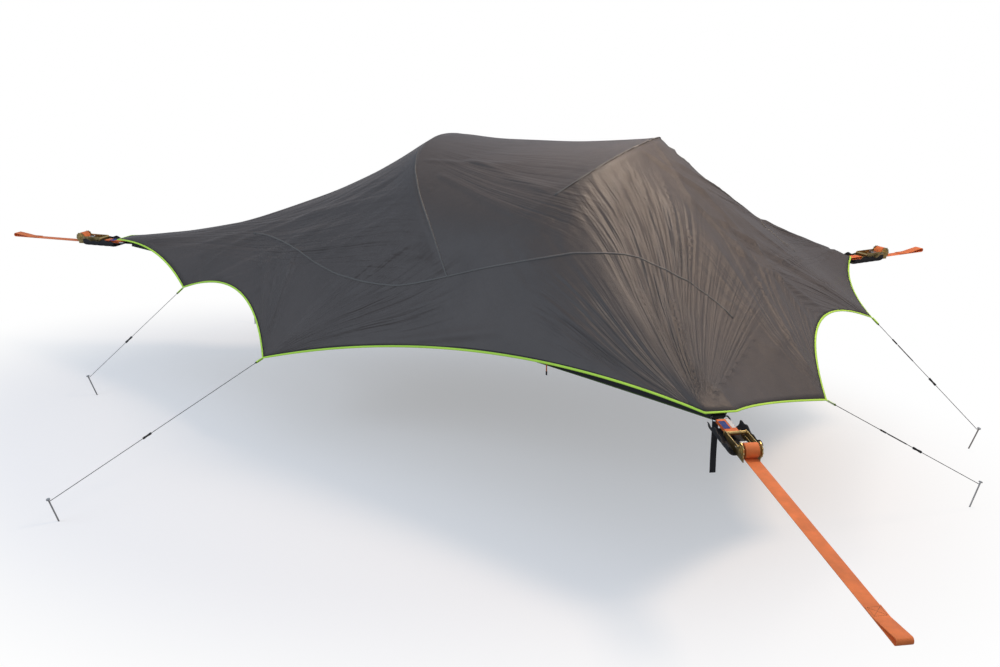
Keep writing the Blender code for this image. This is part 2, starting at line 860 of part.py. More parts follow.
def print_wound_gap(line):
    """Prints the least gap between two turns of the wound strap."""
    gaps = []
    for i, point in enumerate(line):
        for j in range(i + wound_steps // 2, len(line) - 1):
            gaps.append(off_run(point, line[j], line[j + 1]) - web_thickness)
    print("least gap between turns of the strap, m:", round(min(gaps), 5))


def tail_web():
    """The loose end of corner webbing, hanging from its top edge."""
    return prism("tail", [(-web_thickness / 2, 0.0), (web_thickness / 2, 0.0),
                          (web_thickness / 2, -tail_length), (-web_thickness / 2, -tail_length)],
                 -tail_width / 2, tail_width / 2)


def rod(name, radius, centre, low, high, sides=round_sides):
    made = turned(name, [(radius, low), (radius, high)], sides)
    made.transform(Matrix.Translation((centre[0], 0.0, centre[1])) @ Matrix.Rotation(radians(-90.0), 4, "X"))
    return made


def frame_plate_outline():
    """The side of the ratchet's frame, with its boss round the spool's axle."""
    end = bolt_station - bolt_head_radius - plate_thickness
    low = spool_height - frame_base_drop
    boss = arc((spool_station, spool_height), frame_boss_radius, 0.0, 150.0, 8)
    rise = (boss[-1][0] - plate_thickness, frame_low_height)
    bottom = [(end, -frame_low_height + plate_thickness), (spool_station - frame_base_length, low)]
    return boss + [rise, (end, frame_low_height)] + bottom + [(spool_station + frame_boss_radius, low)]


def ratchet_frame():
    """Two side plates with a base under them and the bolt that holds the tether."""
    outline = frame_plate_outline()
    plates = [prism("plate", outline, s * frame_inner, s * frame_outer) for s in (-1, 1)]
    low = spool_height - frame_base_drop
    first, last = spool_station - frame_base_length, spool_station - frame_boss_radius
    base = [(first, low), (last, low), (last, low + plate_thickness), (first, low + plate_thickness)]
    half = frame_outer - plate_thickness / 2
    joined = [plates[1], prism("base", base, -half, half)]
    joined.append(rod("bolt", bolt_radius, (bolt_station, 0.0), -frame_outer, frame_outer))
    for side in (-1, 1):
        first, last = side * (frame_outer - plate_thickness / 2), side * (frame_outer + bolt_head_depth)
        joined.append(rod("bolt_head", bolt_head_radius, (bolt_station, 0.0), first, last))
    centre = (spool_station, spool_height)
    reach = frame_outer + cut_overrun
    bore = rod("bore", axle_radius + running_gap, centre, -reach, reach)
    return solid("ratchet_frame", plates[0], joined, [bore])


def ratchet_spool():
    """The axle that winds the strap, with its two toothed wheels. Its axis is the local w axis."""
    core = rod("core", wound_core_radius, (0.0, 0.0), -frame_inner + running_gap, frame_inner - running_gap)
    axle = rod("axle", axle_radius, (0.0, 0.0), -axle_half, axle_half)
    wheel = []
    for k in range(wheel_teeth):
        turn = 360.0 * k / wheel_teeth
        wheel += arc((0.0, 0.0), wheel_radius, turn, turn, 1)[:1]
        wheel += arc((0.0, 0.0), wheel_radius - wheel_tooth_depth, turn + 9.0, turn + 9.0, 1)[:1]
    wheels = [prism("wheel", wheel, s * wheel_inner, s * wheel_outer) for s in (-1, 1)]
    return solid("spool", axle, [core, *wheels])


def slide_front():
    """How far from the spool's axis the release slide's front edge lies."""
    return wheel_radius + running_gap


def ratchet_handle():
    """Two side plates and the grip, pointing back along the strap from the spool's axis."""
    boss = arc((0.0, 0.0), frame_boss_radius, -150.0, 150.0, 12)
    tip = arc((-handle_length, 0.0), handle_half_height, 90.0, 270.0, 6)
    outline = boss + tip
    plates = [prism("plate", outline, s * handle_inner, s * handle_outer) for s in (-1, 1)]
    half = handle_outer - plate_thickness / 2
    grip = rod("grip", grip_radius, (-handle_length, 0.0), -half, half)
    reach = handle_outer + cut_overrun
    bore = rod("bore", axle_radius + running_gap, (0.0, 0.0), -reach, reach)
    first = -slide_front() - slide_length - slide_travel - running_gap
    last = -slide_front() + running_gap
    tall = slide_thickness / 2 + running_gap
    slot = prism("slot", [(first, -tall), (last, -tall), (last, tall), (first, tall)], -reach, reach)
    return solid("ratchet_handle", plates[0], [plates[1], grip], [bore, slot])


def release_slide():
    """The sprung bar through the handle's slots, with its finger pull."""
    front, back = -slide_front(), -slide_front() - slide_length
    half = handle_outer + slide_overhang
    pull, narrow = back - slide_pull_length, slide_pull_width / 2
    outline = [(front, -half), (front, half), (back, half), (back, narrow)]
    outline += [(pull, narrow), (pull, -narrow), (back, -narrow), (back, -half)]
    return plate("release_slide", outline, -slide_thickness / 2, slide_thickness / 2)


def ratchet_pad():
    """The padded trough that keeps the ratchet off the bark and off people."""
    top = spool_height - frame_base_drop - seat_gap
    round_radius = pad_half_width / 3
    flat = pad_half_width - round_radius
    rise = top + pad_rise
    inner = [(pad_half_width, rise)]
    inner += [(flat + x, y) for x, y in arc((0.0, top + round_radius), round_radius, 0.0, -90.0, 4)]
    inner += [(-w, n) for w, n in reversed(inner)]
    outer = []
    for w, n in inner:
        lower = min((n - top - round_radius) / round_radius, 0.0)
        side = 1 if w > 0 else -1
        outer.append((w + side * pad_thickness * (1 + lower), n + pad_thickness * lower))
    outer[0] = (inner[0][0] + pad_thickness, rise)
    outer[-1] = (-outer[0][0], rise)
    outline = inner + outer[::-1]
    count = len(outline)
    points = [(u, w, n) for u in (pad_start, pad_end) for w, n in outline]
    half = count // 2
    faces = []
    for i in range(half - 1):
        quad = [i, i + 1, count - 2 - i, count - 1 - i]
        faces += [quad, [k + count for k in quad]]
    faces += [[i, (i + 1) % count, count + (i + 1) % count, count + i] for i in range(count)]
    return mesh_of("ratchet_pad", points, faces)


def corner_frame(name, corner, turn_deg, tent):
    turn = Matrix.Rotation(radians(turn_deg), 4, "Z") @ Matrix.Rotation(radians(strap_slope_deg), 4, "Y")
    return empty(name, Matrix.Translation(corner - up * strap_line_drop) @ turn, tent)


def corner_rigging(tent, meshes):
    corners = (
        ("foot", Vector(), 180.0, foot_reach, foot_half_angle),
        ("near", near_corner, near_turn_deg, near_reach, near_half_angle),
        ("far", mirror @ near_corner, -near_turn_deg, far_reach, near_half_angle),
    )
    spool_place = Matrix.Translation((spool_station, 0.0, spool_height))
    for name, corner, turn_deg, reach, half_angle in corners:
        rig = corner_frame(name + "_rig", corner, turn_deg, tent)
        web = corner_web(corner_back(0.0, half_angle))
        axis = empty(name + "_spool_axis", spool_place, rig)
        add_object("corner_webbing_" + name, web, black_webbing, rig)
        tube("corner_ring_" + name, ring_line(), ring_wire_radius, zinc_steel, rig, 1, True)
        add_object("tether_" + name, meshes["tether"], orange_webbing, rig)
        add_object("ratchet_frame_" + name, meshes["frame"], gold_zinc, rig)
        add_object("ratchet_spool_" + name, meshes["spool"], gold_zinc, axis)
        add_object("ratchet_handle_" + name, meshes["handle"], gold_zinc, axis)
        add_object("release_slide_" + name, meshes["slide"], zinc_steel, axis)
        add_object("ratchet_pad_" + name, meshes["pad"], black_webbing, rig)
        add_object("tree_strap_" + name, tree_strap(reach), orange_webbing, rig)
        if name == "near":
            hang_tail(rig, meshes["tail"])


def hang_tail(rig, tail):
    """The tail hangs plumb from the underside of the corner webbing."""
    below = ring_wire_radius + seat_gap + web_thickness + running_gap
    upright = Matrix.Rotation(radians(-strap_slope_deg), 4, "Y")
    place = Matrix.Translation((-tail_back, -tail_side, -below)) @ upright
    add_object("corner_tail", tail, black_webbing, rig, place)


def door_toggles(tent):
    """A short cord tab beside each door, hanging over the floor's edge band."""
    edge = floor_edge(0.0, floor_side_steps, floor_base_steps)
    index = 1 + round(toggle_place_share * floor_side_steps)
    along = (edge[index + 1] - edge[index]).normalized()
    away = along.cross(up)
    half, thick = toggle_width / 2, toggle_thickness / 2
    corners = ((-half, -thick), (half, -thick), (half, thick), (-half, thick))
    points = [along * s + away * o + up * z for z in (0.0, -toggle_length) for s, o in corners]
    faces = [[0, 1, 2, 3], [7, 6, 5, 4]]
    faces += [[i, (i + 1) % 4, 4 + (i + 1) % 4, 4 + i] for i in range(4)]
    tab = mesh_of("door_toggle", points, faces)
    hang = (edge[index] + edge[index + 1]) / 2 + away * (thick + seat_gap) - up * toggle_drop
    add_object("door_toggle_near", tab, orange_webbing, tent, Matrix.Translation(hang))
    place = Matrix.Translation(mirror @ hang)
    add_object("door_toggle_far", mirrored(tab), orange_webbing, tent, place)


def guy_lines(tent, binding, tape):
    steps = fly_hem_steps
    foot_index = 1 + steps[0]
    side_index = foot_index + steps[1]
    head_index = side_index + steps[2] + 1 + steps[3]
    around = len(binding)
    ground = -ground_drop
    lines = (
        ("foot_near", foot_index, (foot_peg_along, -foot_peg_side, ground)),
        ("side_near", side_index, (side_peg_along, -side_peg_side, ground)),
        ("head_near", head_index, (near_head_peg_along, -near_head_peg_side, ground)),
        ("head_far", around - head_index, (far_head_peg_along, far_head_peg_side, ground)),
        ("side_far", around - side_index, (side_peg_along, side_peg_side, ground)),
        ("foot_far", around - foot_index, (foot_peg_along, foot_peg_side, ground)),
    )
    barrel = adjuster()
    peg = peg_mesh()
    for name, index, spot in lines:
        guy_line(tent, name, binding[index], tape, Vector(spot), barrel, peg)


def guy_line(tent, name, corner, tape, spot, barrel, peg):
    """One line from the fly's binding to its peg, with the adjuster on it."""
    level = Vector((corner.x - spot.x, corner.y - spot.y, 0.0)).normalized()
    lean = up * cos(radians(peg_lean_deg)) - level * sin(radians(peg_lean_deg))
    head = spot + lean * peg_standing
    tie = head - lean * (peg_head_depth + peg_tie_drop)
    heading = (tie - corner).normalized()
    start = corner + heading * start_reach(tape, corner, heading)
    apart = heading.cross(lean).length
    end = tie - heading * (peg_radius + seat_gap + cord_radius * abs(heading.dot(lean))) / apart
    tube("guy_line_" + name, [start.lerp(end, s) for s in spaced(0.0, 1.0, cord_steps)],
         cord_radius, guy_cord, tent)
    turn = heading.to_track_quat("Z", "Y").to_matrix().to_4x4()
    middle = start.lerp(end, adjuster_place_share)
    add_object("line_adjuster_" + name, barrel, black_plastic, tent, Matrix.Translation(middle) @ turn)
    upright = lean.to_track_quat("Z", "Y").to_matrix().to_4x4()
    add_object("peg_" + name, peg, zinc_steel, tent, Matrix.Translation(head) @ upright)


def start_reach(tape, corner, heading):
    """How far along its heading a line starts, so that its end just clears the binding."""
    turn = heading.to_track_quat("Z", "Y")
    rim = [turn @ Vector((cord_radius * cos(a), cord_radius * sin(a), 0.0))
           for a in spaced(0.0, 2 * pi, 2 * round_sides)]
    least, most = 0.0, (binding_radius + seat_gap) * round_sides
    for _ in range(30):
        reach = (least + most) / 2
        if min(outside(tape, corner + heading * reach + spot) for spot in rim) < seat_gap:
            least = reach
        else:
            most = reach
    return most


def outside(surface, point):
    """How far a point lies outside a closed surface."""
    met, normal, _, apart = surface.find_nearest(point)
    return apart if (point - met).dot(normal) > 0 else -apart


def off_run(point, first, last):
    """The distance of a point from the straight run between two others."""
    share = (point - first).dot(last - first) / (last - first).length_squared
    return (point - first.lerp(last, min(max(share, 0.0), 1.0))).length


def adjuster():
    """A waisted barrel that grips the cord through its bore."""
    half, bore = adjuster_length / 2, cord_radius + adjuster_bore_gap
    profile = [(bore, -half), (adjuster_radius, -half), (adjuster_radius, -half * 2 / 3)]
    profile += [(adjuster_waist_radius, 0.0), (adjuster_radius, half * 2 / 3)]
    profile += [(adjuster_radius, half), (bore, half)]
    return smooth(turned("adjuster", profile, round_sides - 2, True))


def peg_mesh():
    """A straight peg. Its local zero is the middle of the head's flat top."""
    deep = peg_length - peg_tip_length
    profile = [(peg_head_radius, 0.0), (peg_head_radius, -peg_head_depth), (peg_radius, -peg_head_depth)]
    profile += [(peg_radius, -deep), (peg_radius / 4, -peg_length)]
    return smooth(turned("peg", profile, round_sides - 2))


def bake(name, mesh):
    mesh.name = name
    return smooth(mesh, 30.0)


for old in list(bpy.data.objects):
    bpy.data.objects.remove(old)

fly_cloth = material("fly_cloth", (0.068, 0.062, 0.062), 0.55)
lime_tape = material("lime_tape", (0.35, 0.75, 0.03), 0.6)
floor_cloth = material("floor_cloth", (0.02, 0.02, 0.022), 0.7)
mesh_cloth = material("mesh_cloth", (0.03, 0.03, 0.03), 0.8)
pole_alloy = material("pole_alloy", (0.09, 0.09, 0.1), 0.35, 1.0)
black_plastic = material("black_plastic", (0.012, 0.012, 0.012), 0.5)
black_webbing = material("black_webbing", (0.012, 0.012, 0.013), 0.75)
orange_webbing = material("orange_webbing", (0.9, 0.2, 0.03), 0.6)
gold_zinc = material("gold_zinc", (0.62, 0.48, 0.22), 0.35, 1.0)
zinc_steel = material("zinc_steel", (0.6, 0.6, 0.58), 0.35, 1.0)
guy_cord = material("guy_cord", (0.3, 0.3, 0.3), 0.6)

foot_turn = Matrix.Rotation(radians(180.0), 3, "Z") @ Matrix.Rotation(radians(strap_slope_deg), 3, "Y")
foot_corner = up * strap_line_drop - foot_turn @ Vector((foot_reach, 0.0, eye_height))
tent_frame = empty("tent_frame", Matrix.Translation(foot_corner))

binding_line, binding_tape = fly_sheet(tent_frame)
canopy_and_doors(tent_frame)
floor(tent_frame)
poles_and_cups(tent_frame)
rig_meshes = {
    "tether": tether_sling(),
    "frame": bake("ratchet_frame", ratchet_frame()),
    "spool": bake("ratchet_spool", ratchet_spool()),
    "handle": bake("ratchet_handle", ratchet_handle()),
    "slide": release_slide(),
    "pad": smooth(ratchet_pad()),
    "tail": tail_web(),
}
corner_rigging(tent_frame, rig_meshes)
door_toggles(tent_frame)
guy_lines(tent_frame, binding_line, binding_tape)
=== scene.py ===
from math import acos, atan2, cos, hypot, pi, radians, sin, tan

import bpy
import bmesh
import numpy as np
from mathutils import Matrix, Vector, noise
from mathutils.bvhtree import BVHTree


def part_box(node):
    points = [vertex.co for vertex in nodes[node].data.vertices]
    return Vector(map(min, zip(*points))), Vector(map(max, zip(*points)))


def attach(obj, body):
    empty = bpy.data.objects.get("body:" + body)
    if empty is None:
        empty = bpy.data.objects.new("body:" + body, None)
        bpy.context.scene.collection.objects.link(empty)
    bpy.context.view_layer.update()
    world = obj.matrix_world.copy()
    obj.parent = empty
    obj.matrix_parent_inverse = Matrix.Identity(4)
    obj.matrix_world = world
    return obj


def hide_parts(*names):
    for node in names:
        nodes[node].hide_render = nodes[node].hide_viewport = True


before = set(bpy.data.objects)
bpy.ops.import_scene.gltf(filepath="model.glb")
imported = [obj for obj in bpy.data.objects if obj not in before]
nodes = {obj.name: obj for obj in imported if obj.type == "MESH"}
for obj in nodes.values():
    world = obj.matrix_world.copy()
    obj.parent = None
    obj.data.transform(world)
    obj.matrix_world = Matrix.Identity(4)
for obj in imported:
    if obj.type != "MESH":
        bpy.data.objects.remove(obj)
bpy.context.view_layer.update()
print("frame loaded:", len(nodes), "nodes")

bpy.ops.object.select_all(action="DESELECT")

# The tent's own frame: zero at the foot corner of the floor, in the plane of the floor's edge
tentPlace = Vector((0.859374, 0.0, 0.046951))
up = Vector((0.0, 0.0, 1.0))
mirror = Matrix.Diagonal((1.0, -1.0, 1.0, 1.0))

camera = {
    "place": (4.9789, -5.4722, 1.6282),
    "yaw": -0.4281,
    "pitch": 0.3055,
    "lens": 43.139,
    "sensor": 36.0,
    "frame": (1000.0, 667.0),
}

plan = {
    "length": 4.0,
    "baseWidth": 2.7,
    "strapAngle": 33.5,
    "strapSlope": 2.0,
    "strapDrop": 0.014,
    "sideBow": 0.070,
    "baseBow": 0.040,
    "ground": 0.600,
}


def makeCamera(values):
    data = bpy.data.cameras.new("camera")
    data.lens = values["lens"]
    data.sensor_width = values["sensor"]
    made = bpy.data.objects.new("camera", data)
    bpy.context.scene.collection.objects.link(made)
    yaw, pitch = values["yaw"], values["pitch"]
    ahead = Vector((cos(pitch) * sin(yaw), cos(pitch) * cos(yaw), -sin(pitch)))
    right = Vector((cos(yaw), -sin(yaw), 0.0))
    above = right.cross(ahead)
    turn = Matrix((right, above, -ahead)).transposed().to_4x4()
    made.matrix_world = Matrix.Translation(tentPlace + Vector(values["place"])) @ turn
    bpy.context.scene.camera = made
    return made.matrix_world.translation.copy(), ahead, right, above


eye, ahead, right, above = makeCamera(camera)
centreX, centreY = camera["frame"][0] / 2, camera["frame"][1] / 2
pixelReach = camera["lens"] / camera["sensor"] * camera["frame"][0]


def pixelRay(x, y):  # the ray through a pixel of the camera's frame
    return (ahead * pixelReach + right * (x - centreX) + above * (centreY - y)).normalized()


# Materials


def newMaterial(name, colour, roughness, metallic=0.0):
    made = bpy.data.materials.new(name)
    made.use_nodes = True
    shader = made.node_tree.nodes["Principled BSDF"]
    shader.inputs["Base Color"].default_value = (*colour, 1.0)
    shader.inputs["Roughness"].default_value = roughness
    shader.inputs["Metallic"].default_value = metallic
    return made, made.node_tree, shader


def addNode(tree, kind, **values):
    made = tree.nodes.new(kind)
    for key, value in values.items():
        if key in made.inputs:
            made.inputs[key].default_value = value
        else:
            setattr(made, key, value)
    return made


def coordinates(tree, output, scale=(1.0, 1.0, 1.0)):
    source = tree.nodes.new("ShaderNodeTexCoord")
    mapping = addNode(tree, "ShaderNodeMapping")
    mapping.inputs["Scale"].default_value = scale
    tree.links.new(source.outputs[output], mapping.inputs["Vector"])
    return mapping.outputs["Vector"]


def grainOf(tree, place, scale, detail, roughness=0.5):
    grain = addNode(tree, "ShaderNodeTexNoise", Scale=scale, Detail=detail, Roughness=roughness)
    tree.links.new(place, grain.inputs["Vector"])
    return grain.outputs["Fac"]


def mottled(tree, shader, place, scale, colour, change):  # slow changes of colour over the surface
    grain = grainOf(tree, place, scale, detail=4.0, roughness=0.6)
    ramp = tree.nodes.new("ShaderNodeValToRGB")
    low, high = ramp.color_ramp.elements
    low.position, high.position = 0.3, 0.7
    low.color = (*[c * (1 - change) for c in colour], 1.0)
    high.color = (*[min(c * (1 + change), 1.0) for c in colour], 1.0)
    tree.links.new(grain, ramp.inputs["Fac"])
    tree.links.new(ramp.outputs["Color"], shader.inputs["Base Color"])
    return grain


def bumpFrom(tree, height, strength, distance, under=None):
    bump = addNode(tree, "ShaderNodeBump", Strength=strength, Distance=distance)
    tree.links.new(height, bump.inputs["Height"])
    if under:
        tree.links.new(under, bump.inputs["Normal"])
    return bump.outputs["Normal"]


def waveOf(tree, place, direction, scale):
    wave = addNode(tree, "ShaderNodeTexWave", Scale=scale, Distortion=0.0)
    wave.bands_direction = direction
    tree.links.new(place, wave.inputs["Vector"])
    return wave.outputs["Fac"]


def summed(tree, first, second, operation="ADD"):
    made = addNode(tree, "ShaderNodeMath", operation=operation)
    tree.links.new(first, made.inputs[0])
    tree.links.new(second, made.inputs[1])
    return made.outputs["Value"]


def clothMaterial(name, colour, roughness, threads, crinkle=0.0, sheen=0.0):
    made, tree, shader = newMaterial(name, colour, roughness)
    body = coordinates(tree, "Object")
    mottled(tree, shader, body, scale=2.2, colour=colour, change=0.12)
    cloth = coordinates(tree, "UV")
    weave = summed(tree, waveOf(tree, cloth, "X", threads), waveOf(tree, cloth, "Y", threads))
    normal = bumpFrom(tree, weave, strength=0.25, distance=0.0004)
    if crinkle:
        fine = grainOf(tree, body, scale=38.0, detail=5.0, roughness=0.55)
        normal = bumpFrom(tree, fine, crinkle, distance=0.003, under=normal)
        broad = grainOf(tree, body, scale=9.0, detail=3.0)
        normal = bumpFrom(tree, broad, crinkle, distance=0.012, under=normal)
    tree.links.new(normal, shader.inputs["Normal"])
    shader.inputs["Sheen Weight"].default_value = sheen
    shader.inputs["Sheen Roughness"].default_value = 0.4
    return made


def fanHeight(tree, layer, detail):  # a noise drawn out along the folds of one layer of fans
    fan = addNode(tree, "ShaderNodeAttribute")
    fan.attribute_name = "pullFan" + layer
    weight = addNode(tree, "ShaderNodeAttribute")
    weight.attribute_name = "pullWeight" + layer
    centred = addNode(tree, "ShaderNodeMath", operation="SUBTRACT")
    centred.inputs[1].default_value = 0.5
    grain = grainOf(tree, fan.outputs["Vector"], scale=1.0, detail=detail)
    tree.links.new(grain, centred.inputs[0])
    return summed(tree, centred.outputs["Value"], weight.outputs["Fac"], "MULTIPLY")


def pulledFolds(made, values):  # fans of narrow folds, laid out by the cloth's own attributes
    tree = made.node_tree
    shader = next(node for node in tree.nodes if node.type == "BSDF_PRINCIPLED")
    under = shader.inputs["Normal"].links[0].from_socket
    layers = [fanHeight(tree, layer, values["detail"]) for layer in ("Main", "Cross")]
    normal = bumpFrom(tree, summed(tree, *layers), values["strength"], values["distance"], under)
    tree.links.new(normal, shader.inputs["Normal"])


def webbingMaterial(name, colour, roughness=0.6):  # chevron ribs along the webbing
    made, tree, shader = newMaterial(name, colour, roughness)
    mottled(tree, shader, coordinates(tree, "Object"), scale=14.0, colour=colour, change=0.14)
    strap = coordinates(tree, "UV")
    ribs = waveOf(tree, strap, "Y", scale=75.0)
    picks = waveOf(tree, strap, "DIAGONAL", scale=160.0)
    normal = bumpFrom(tree, summed(tree, ribs, picks), strength=0.5, distance=0.0006)
    tree.links.new(normal, shader.inputs["Normal"])
    shader.inputs["Sheen Weight"].default_value = 0.05
    return made


def metalMaterial(name, colour, roughness):
    made, tree, shader = newMaterial(name, colour, roughness, metallic=1.0)
    body = coordinates(tree, "Object")
    grain = mottled(tree, shader, body, scale=35.0, colour=colour, change=0.18)
    rough = addNode(tree, "ShaderNodeMapRange")
    rough.inputs["To Min"].default_value = max(roughness - 0.12, 0.05)
    rough.inputs["To Max"].default_value = roughness + 0.15
    tree.links.new(grain, rough.inputs["Value"])
    tree.links.new(rough.outputs["Result"], shader.inputs["Roughness"])
    scratches = grainOf(tree, body, scale=420.0, detail=3.0)
    normal = bumpFrom(tree, scratches, strength=0.15, distance=0.0003)
    tree.links.new(normal, shader.inputs["Normal"])
    return made


def plasticMaterial(name, colour, roughness):
    made, tree, shader = newMaterial(name, colour, roughness)
    body = coordinates(tree, "Object")
    mottled(tree, shader, body, scale=60.0, colour=colour, change=0.1)
    grain = grainOf(tree, body, scale=900.0, detail=2.0)
    normal = bumpFrom(tree, grain, strength=0.2, distance=0.0003)
    tree.links.new(normal, shader.inputs["Normal"])
    return made


def netMaterial(name, colour, roughness):
    made, tree, shader = newMaterial(name, colour, roughness)
    cloth = coordinates(tree, "UV")
    mottled(tree, shader, coordinates(tree, "Object"), scale=5.0, colour=colour, change=0.2)
    holes = addNode(tree, "ShaderNodeTexVoronoi", Scale=420.0)
    tree.links.new(cloth, holes.inputs["Vector"])
    normal = bumpFrom(tree, holes.outputs["Distance"], strength=0.6, distance=0.0006)
    tree.links.new(normal, shader.inputs["Normal"])
    return made


finishes = {  # colour and roughness; for a cloth also threads per metre, crinkle and sheen
    "flyCloth": clothMaterial("fly_cloth", (0.070, 0.059, 0.054), 0.5, 260.0, 0.35, 0.08),
    # Seam tape: a grey paler than the fly cloth, and the paleness is a painted highlight along the raised
    # seams
    "seamTape": clothMaterial("seam_tape", (0.12, 0.115, 0.108), 0.6, 300.0),
    "oliveTape": clothMaterial("olive_tape", (0.07, 0.14, 0.02), 0.7, 300.0),
    "limeTape": clothMaterial("lime_tape", (0.55, 0.95, 0.08), 0.6, 300.0, sheen=0.1),
    "darkTape": clothMaterial("dark_tape", (0.02, 0.02, 0.02), 0.7, 300.0),
    "floorCloth": clothMaterial("floor_cloth", (0.016, 0.016, 0.018), 0.6, 260.0, 0.25),
    "meshCloth": netMaterial("mesh_cloth", (0.02, 0.02, 0.021), 0.8),
    "orangeWebbing": webbingMaterial("orange_webbing", (0.9, 0.19, 0.035)),
    "strapWebbing": webbingMaterial("strap_webbing", (0.86, 0.21, 0.045)),
    "blackWebbing": webbingMaterial("black_webbing", (0.014, 0.014, 0.015), 0.75),
    "padCloth": clothMaterial("pad_cloth", (0.018, 0.018, 0.019), 0.75, 200.0, 0.3),
    "blueTape": clothMaterial("blue_tape", (0.006, 0.035, 0.22), 0.6, 300.0),
    "whiteTape": clothMaterial("white_tape", (0.75, 0.75, 0.73), 0.6, 300.0),
    "poleAlloy": metalMaterial("pole_alloy", (0.09, 0.09, 0.1), 0.35),
    "goldZinc": metalMaterial("gold_zinc", (0.62, 0.47, 0.2), 0.35),
    "zincSteel": metalMaterial("zinc_steel", (0.6, 0.6, 0.58), 0.32),
    "blackPlastic": plasticMaterial("black_plastic", (0.014, 0.014, 0.014), 0.45),
    "greyCord": webbingMaterial("grey_cord", (0.33, 0.33, 0.34), 0.7),
    "darkCord": webbingMaterial("dark_cord", (0.05, 0.05, 0.055), 0.7),
}
pulledFolds(finishes["flyCloth"], {"detail": 2.0, "strength": 1.0, "distance": 0.045})
print("materials made:", len(finishes))


def finish(made, key, body, slot, *stands):  # material, body, slot, which is not used, and the nodes it stands for
    made.data.materials.clear()
    made.data.materials.append(finishes[key])
    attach(made, body)
    if stands:
        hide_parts(*stands)
    return made


def meshObject(name, points, faces, uvs=None):
    data = bpy.data.meshes.new(name)
    data.from_pydata([tuple(p) for p in points], [], faces)
    if uvs is not None:
        layer = data.uv_layers.new(name="cloth")
        loops = np.zeros(len(data.loops), int)
        data.loops.foreach_get("vertex_index", loops)
        layer.data.foreach_set("uv", np.asarray(uvs, float)[loops].ravel())
    data.shade_smooth()
    made = bpy.data.objects.new(name, data)
    bpy.context.scene.collection.objects.link(made)
    return made


def ringFaces(starts, size):  # quads between each ring of points and the next
    faces = []
    for a, b in zip(starts, starts[1:]):
        faces += [[a + i, a + (i + 1) % size, b + (i + 1) % size, b + i] for i in range(size)]
    return faces


def bandFaces(count, size, closed):  # the faces of a swept section, its ends filled if open
    starts = [k * size for k in range(count)]
    if closed:
        return ringFaces(starts + starts[:1], size)
    ends = [list(range(size)), list(range(starts[-1], count * size))[::-1]]
    return ringFaces(starts, size) + ends


def outwards(made):  # turns the faces of a closed mesh outwards
    body = bmesh.new()
    body.from_mesh(made.data)
    bmesh.ops.recalc_face_normals(body, faces=body.faces)
    body.to_mesh(made.data)
    body.free()
    made.data.update()
    return made


def applyAll(made):
    bpy.ops.object.select_all(action="DESELECT")
    made.select_set(True)
    bpy.context.view_layer.objects.active = made
    for step in list(made.modifiers):
        bpy.ops.object.modifier_apply(modifier=step.name)
    made.select_set(False)
    return made


# The tent's plan and its hoops

halfBase = plan["baseWidth"] / 2
sideLength = hypot(plan["length"], halfBase)
alongSide = Vector((plan["length"], -halfBase, 0.0)) / sideLength
outSide = Vector((-halfBase, -plan["length"], 0.0)) / sideLength
footHalfAngle = atan2(halfBase, plan["length"])
nearHalfAngle = atan2(plan["length"], halfBase) / 2
nearTurnDeg = plan["strapAngle"] - 90.0
nearCorner = Vector((plan["length"], -halfBase, 0.0))


def strapHeading(turnDeg):
    return Vector((cos(radians(turnDeg)), sin(radians(turnDeg)), 0.0))


nearAcross = strapHeading(nearTurnDeg + 90.0)

hoops = {
    "poleRadius": 0.0055,
    "footHeight": 0.014,
    "foot": {"station": 2.810, "apex": 2.150, "high": 0.748, "round": 1.0,
             "foot": 0.86461, "wide": 0.86461, "cross": 0.341824},
    "head": {"station": 2.280, "apex": 3.235, "high": 0.775, "round": 0.75,
             "foot": 0.67507, "wide": 0.80452, "cross": -0.090436},
}


def hoopPoint(values, angle):
    low = sin(-acos(min((values["foot"] / values["wide"]) ** (1 / values["round"]), 1.0)))
    climb = (sin(angle) - low) / (1 - low)
    half = values["wide"] * abs(cos(angle)) ** values["round"]
    side = -half if cos(angle) > 0 else half
    along = values["station"] + (values["apex"] - values["station"]) * climb
    return Vector((along, side, hoops["footHeight"] + (values["high"] - hoops["footHeight"]) * climb))


def spaced(first, last, steps):
    return [first + (last - first) * k / steps for k in range(steps + 1)]


def evenly(path, spacing):  # extra points on the straight runs of a path
    line = []
    for a, b in zip(path, path[1:]):
        steps = max(int(hypot(b[0] - a[0], b[1] - a[1]) / spacing), 1)
        line += [(a[0] + (b[0] - a[0]) * k / steps, a[1] + (b[1] - a[1]) * k / steps)
                 for k in range(steps)]
    return line + [path[-1]]


def hoopLoop(steps, outside):  # over both hoops above their crossings: apex, near, apex, far
    foot = [hoopPoint(hoops["foot"], a) for a in spaced(pi / 2, hoops["foot"]["cross"], steps)]
    head = [hoopPoint(hoops["head"], a) for a in spaced(hoops["head"]["cross"], pi / 2, steps)]
    return bothSides(foot + head[1:] if outside else foot[:-1] + head)


hoopMiddle = Vector(((hoops["foot"]["station"] + hoops["head"]["station"]) / 2, 0.0, 0.0))


def bothSides(line):  # a near half and its mirror, as one closed line
    return line + [mirror @ point for point in reversed(line[1:-1])]


def laidOn(loop, points, quads, reach):  # the loop moved off the poles by a reach
    around = len(loop)
    sides = [[] for _ in loop]
    for quad in quads:
        a, b, c = [points[i] for i in quad[:3]]
        normal = (b - a).cross(c - a) + (c - a).cross(points[quad[3]] - a)
        normal.normalize()
        for i in quad:
            if i < around:
                sides[i].append(normal * (1 if normal.dot(loop[i] - hoopMiddle) > 0 else -1))
    moved = []
    for point, normals in zip(loop, sides):
        away = sum(normals, Vector()).normalized()
        lean = min(away.dot(normal) for normal in normals) if reach > 0 else 1.0
        moved.append(point + away * reach / lean)
    return moved


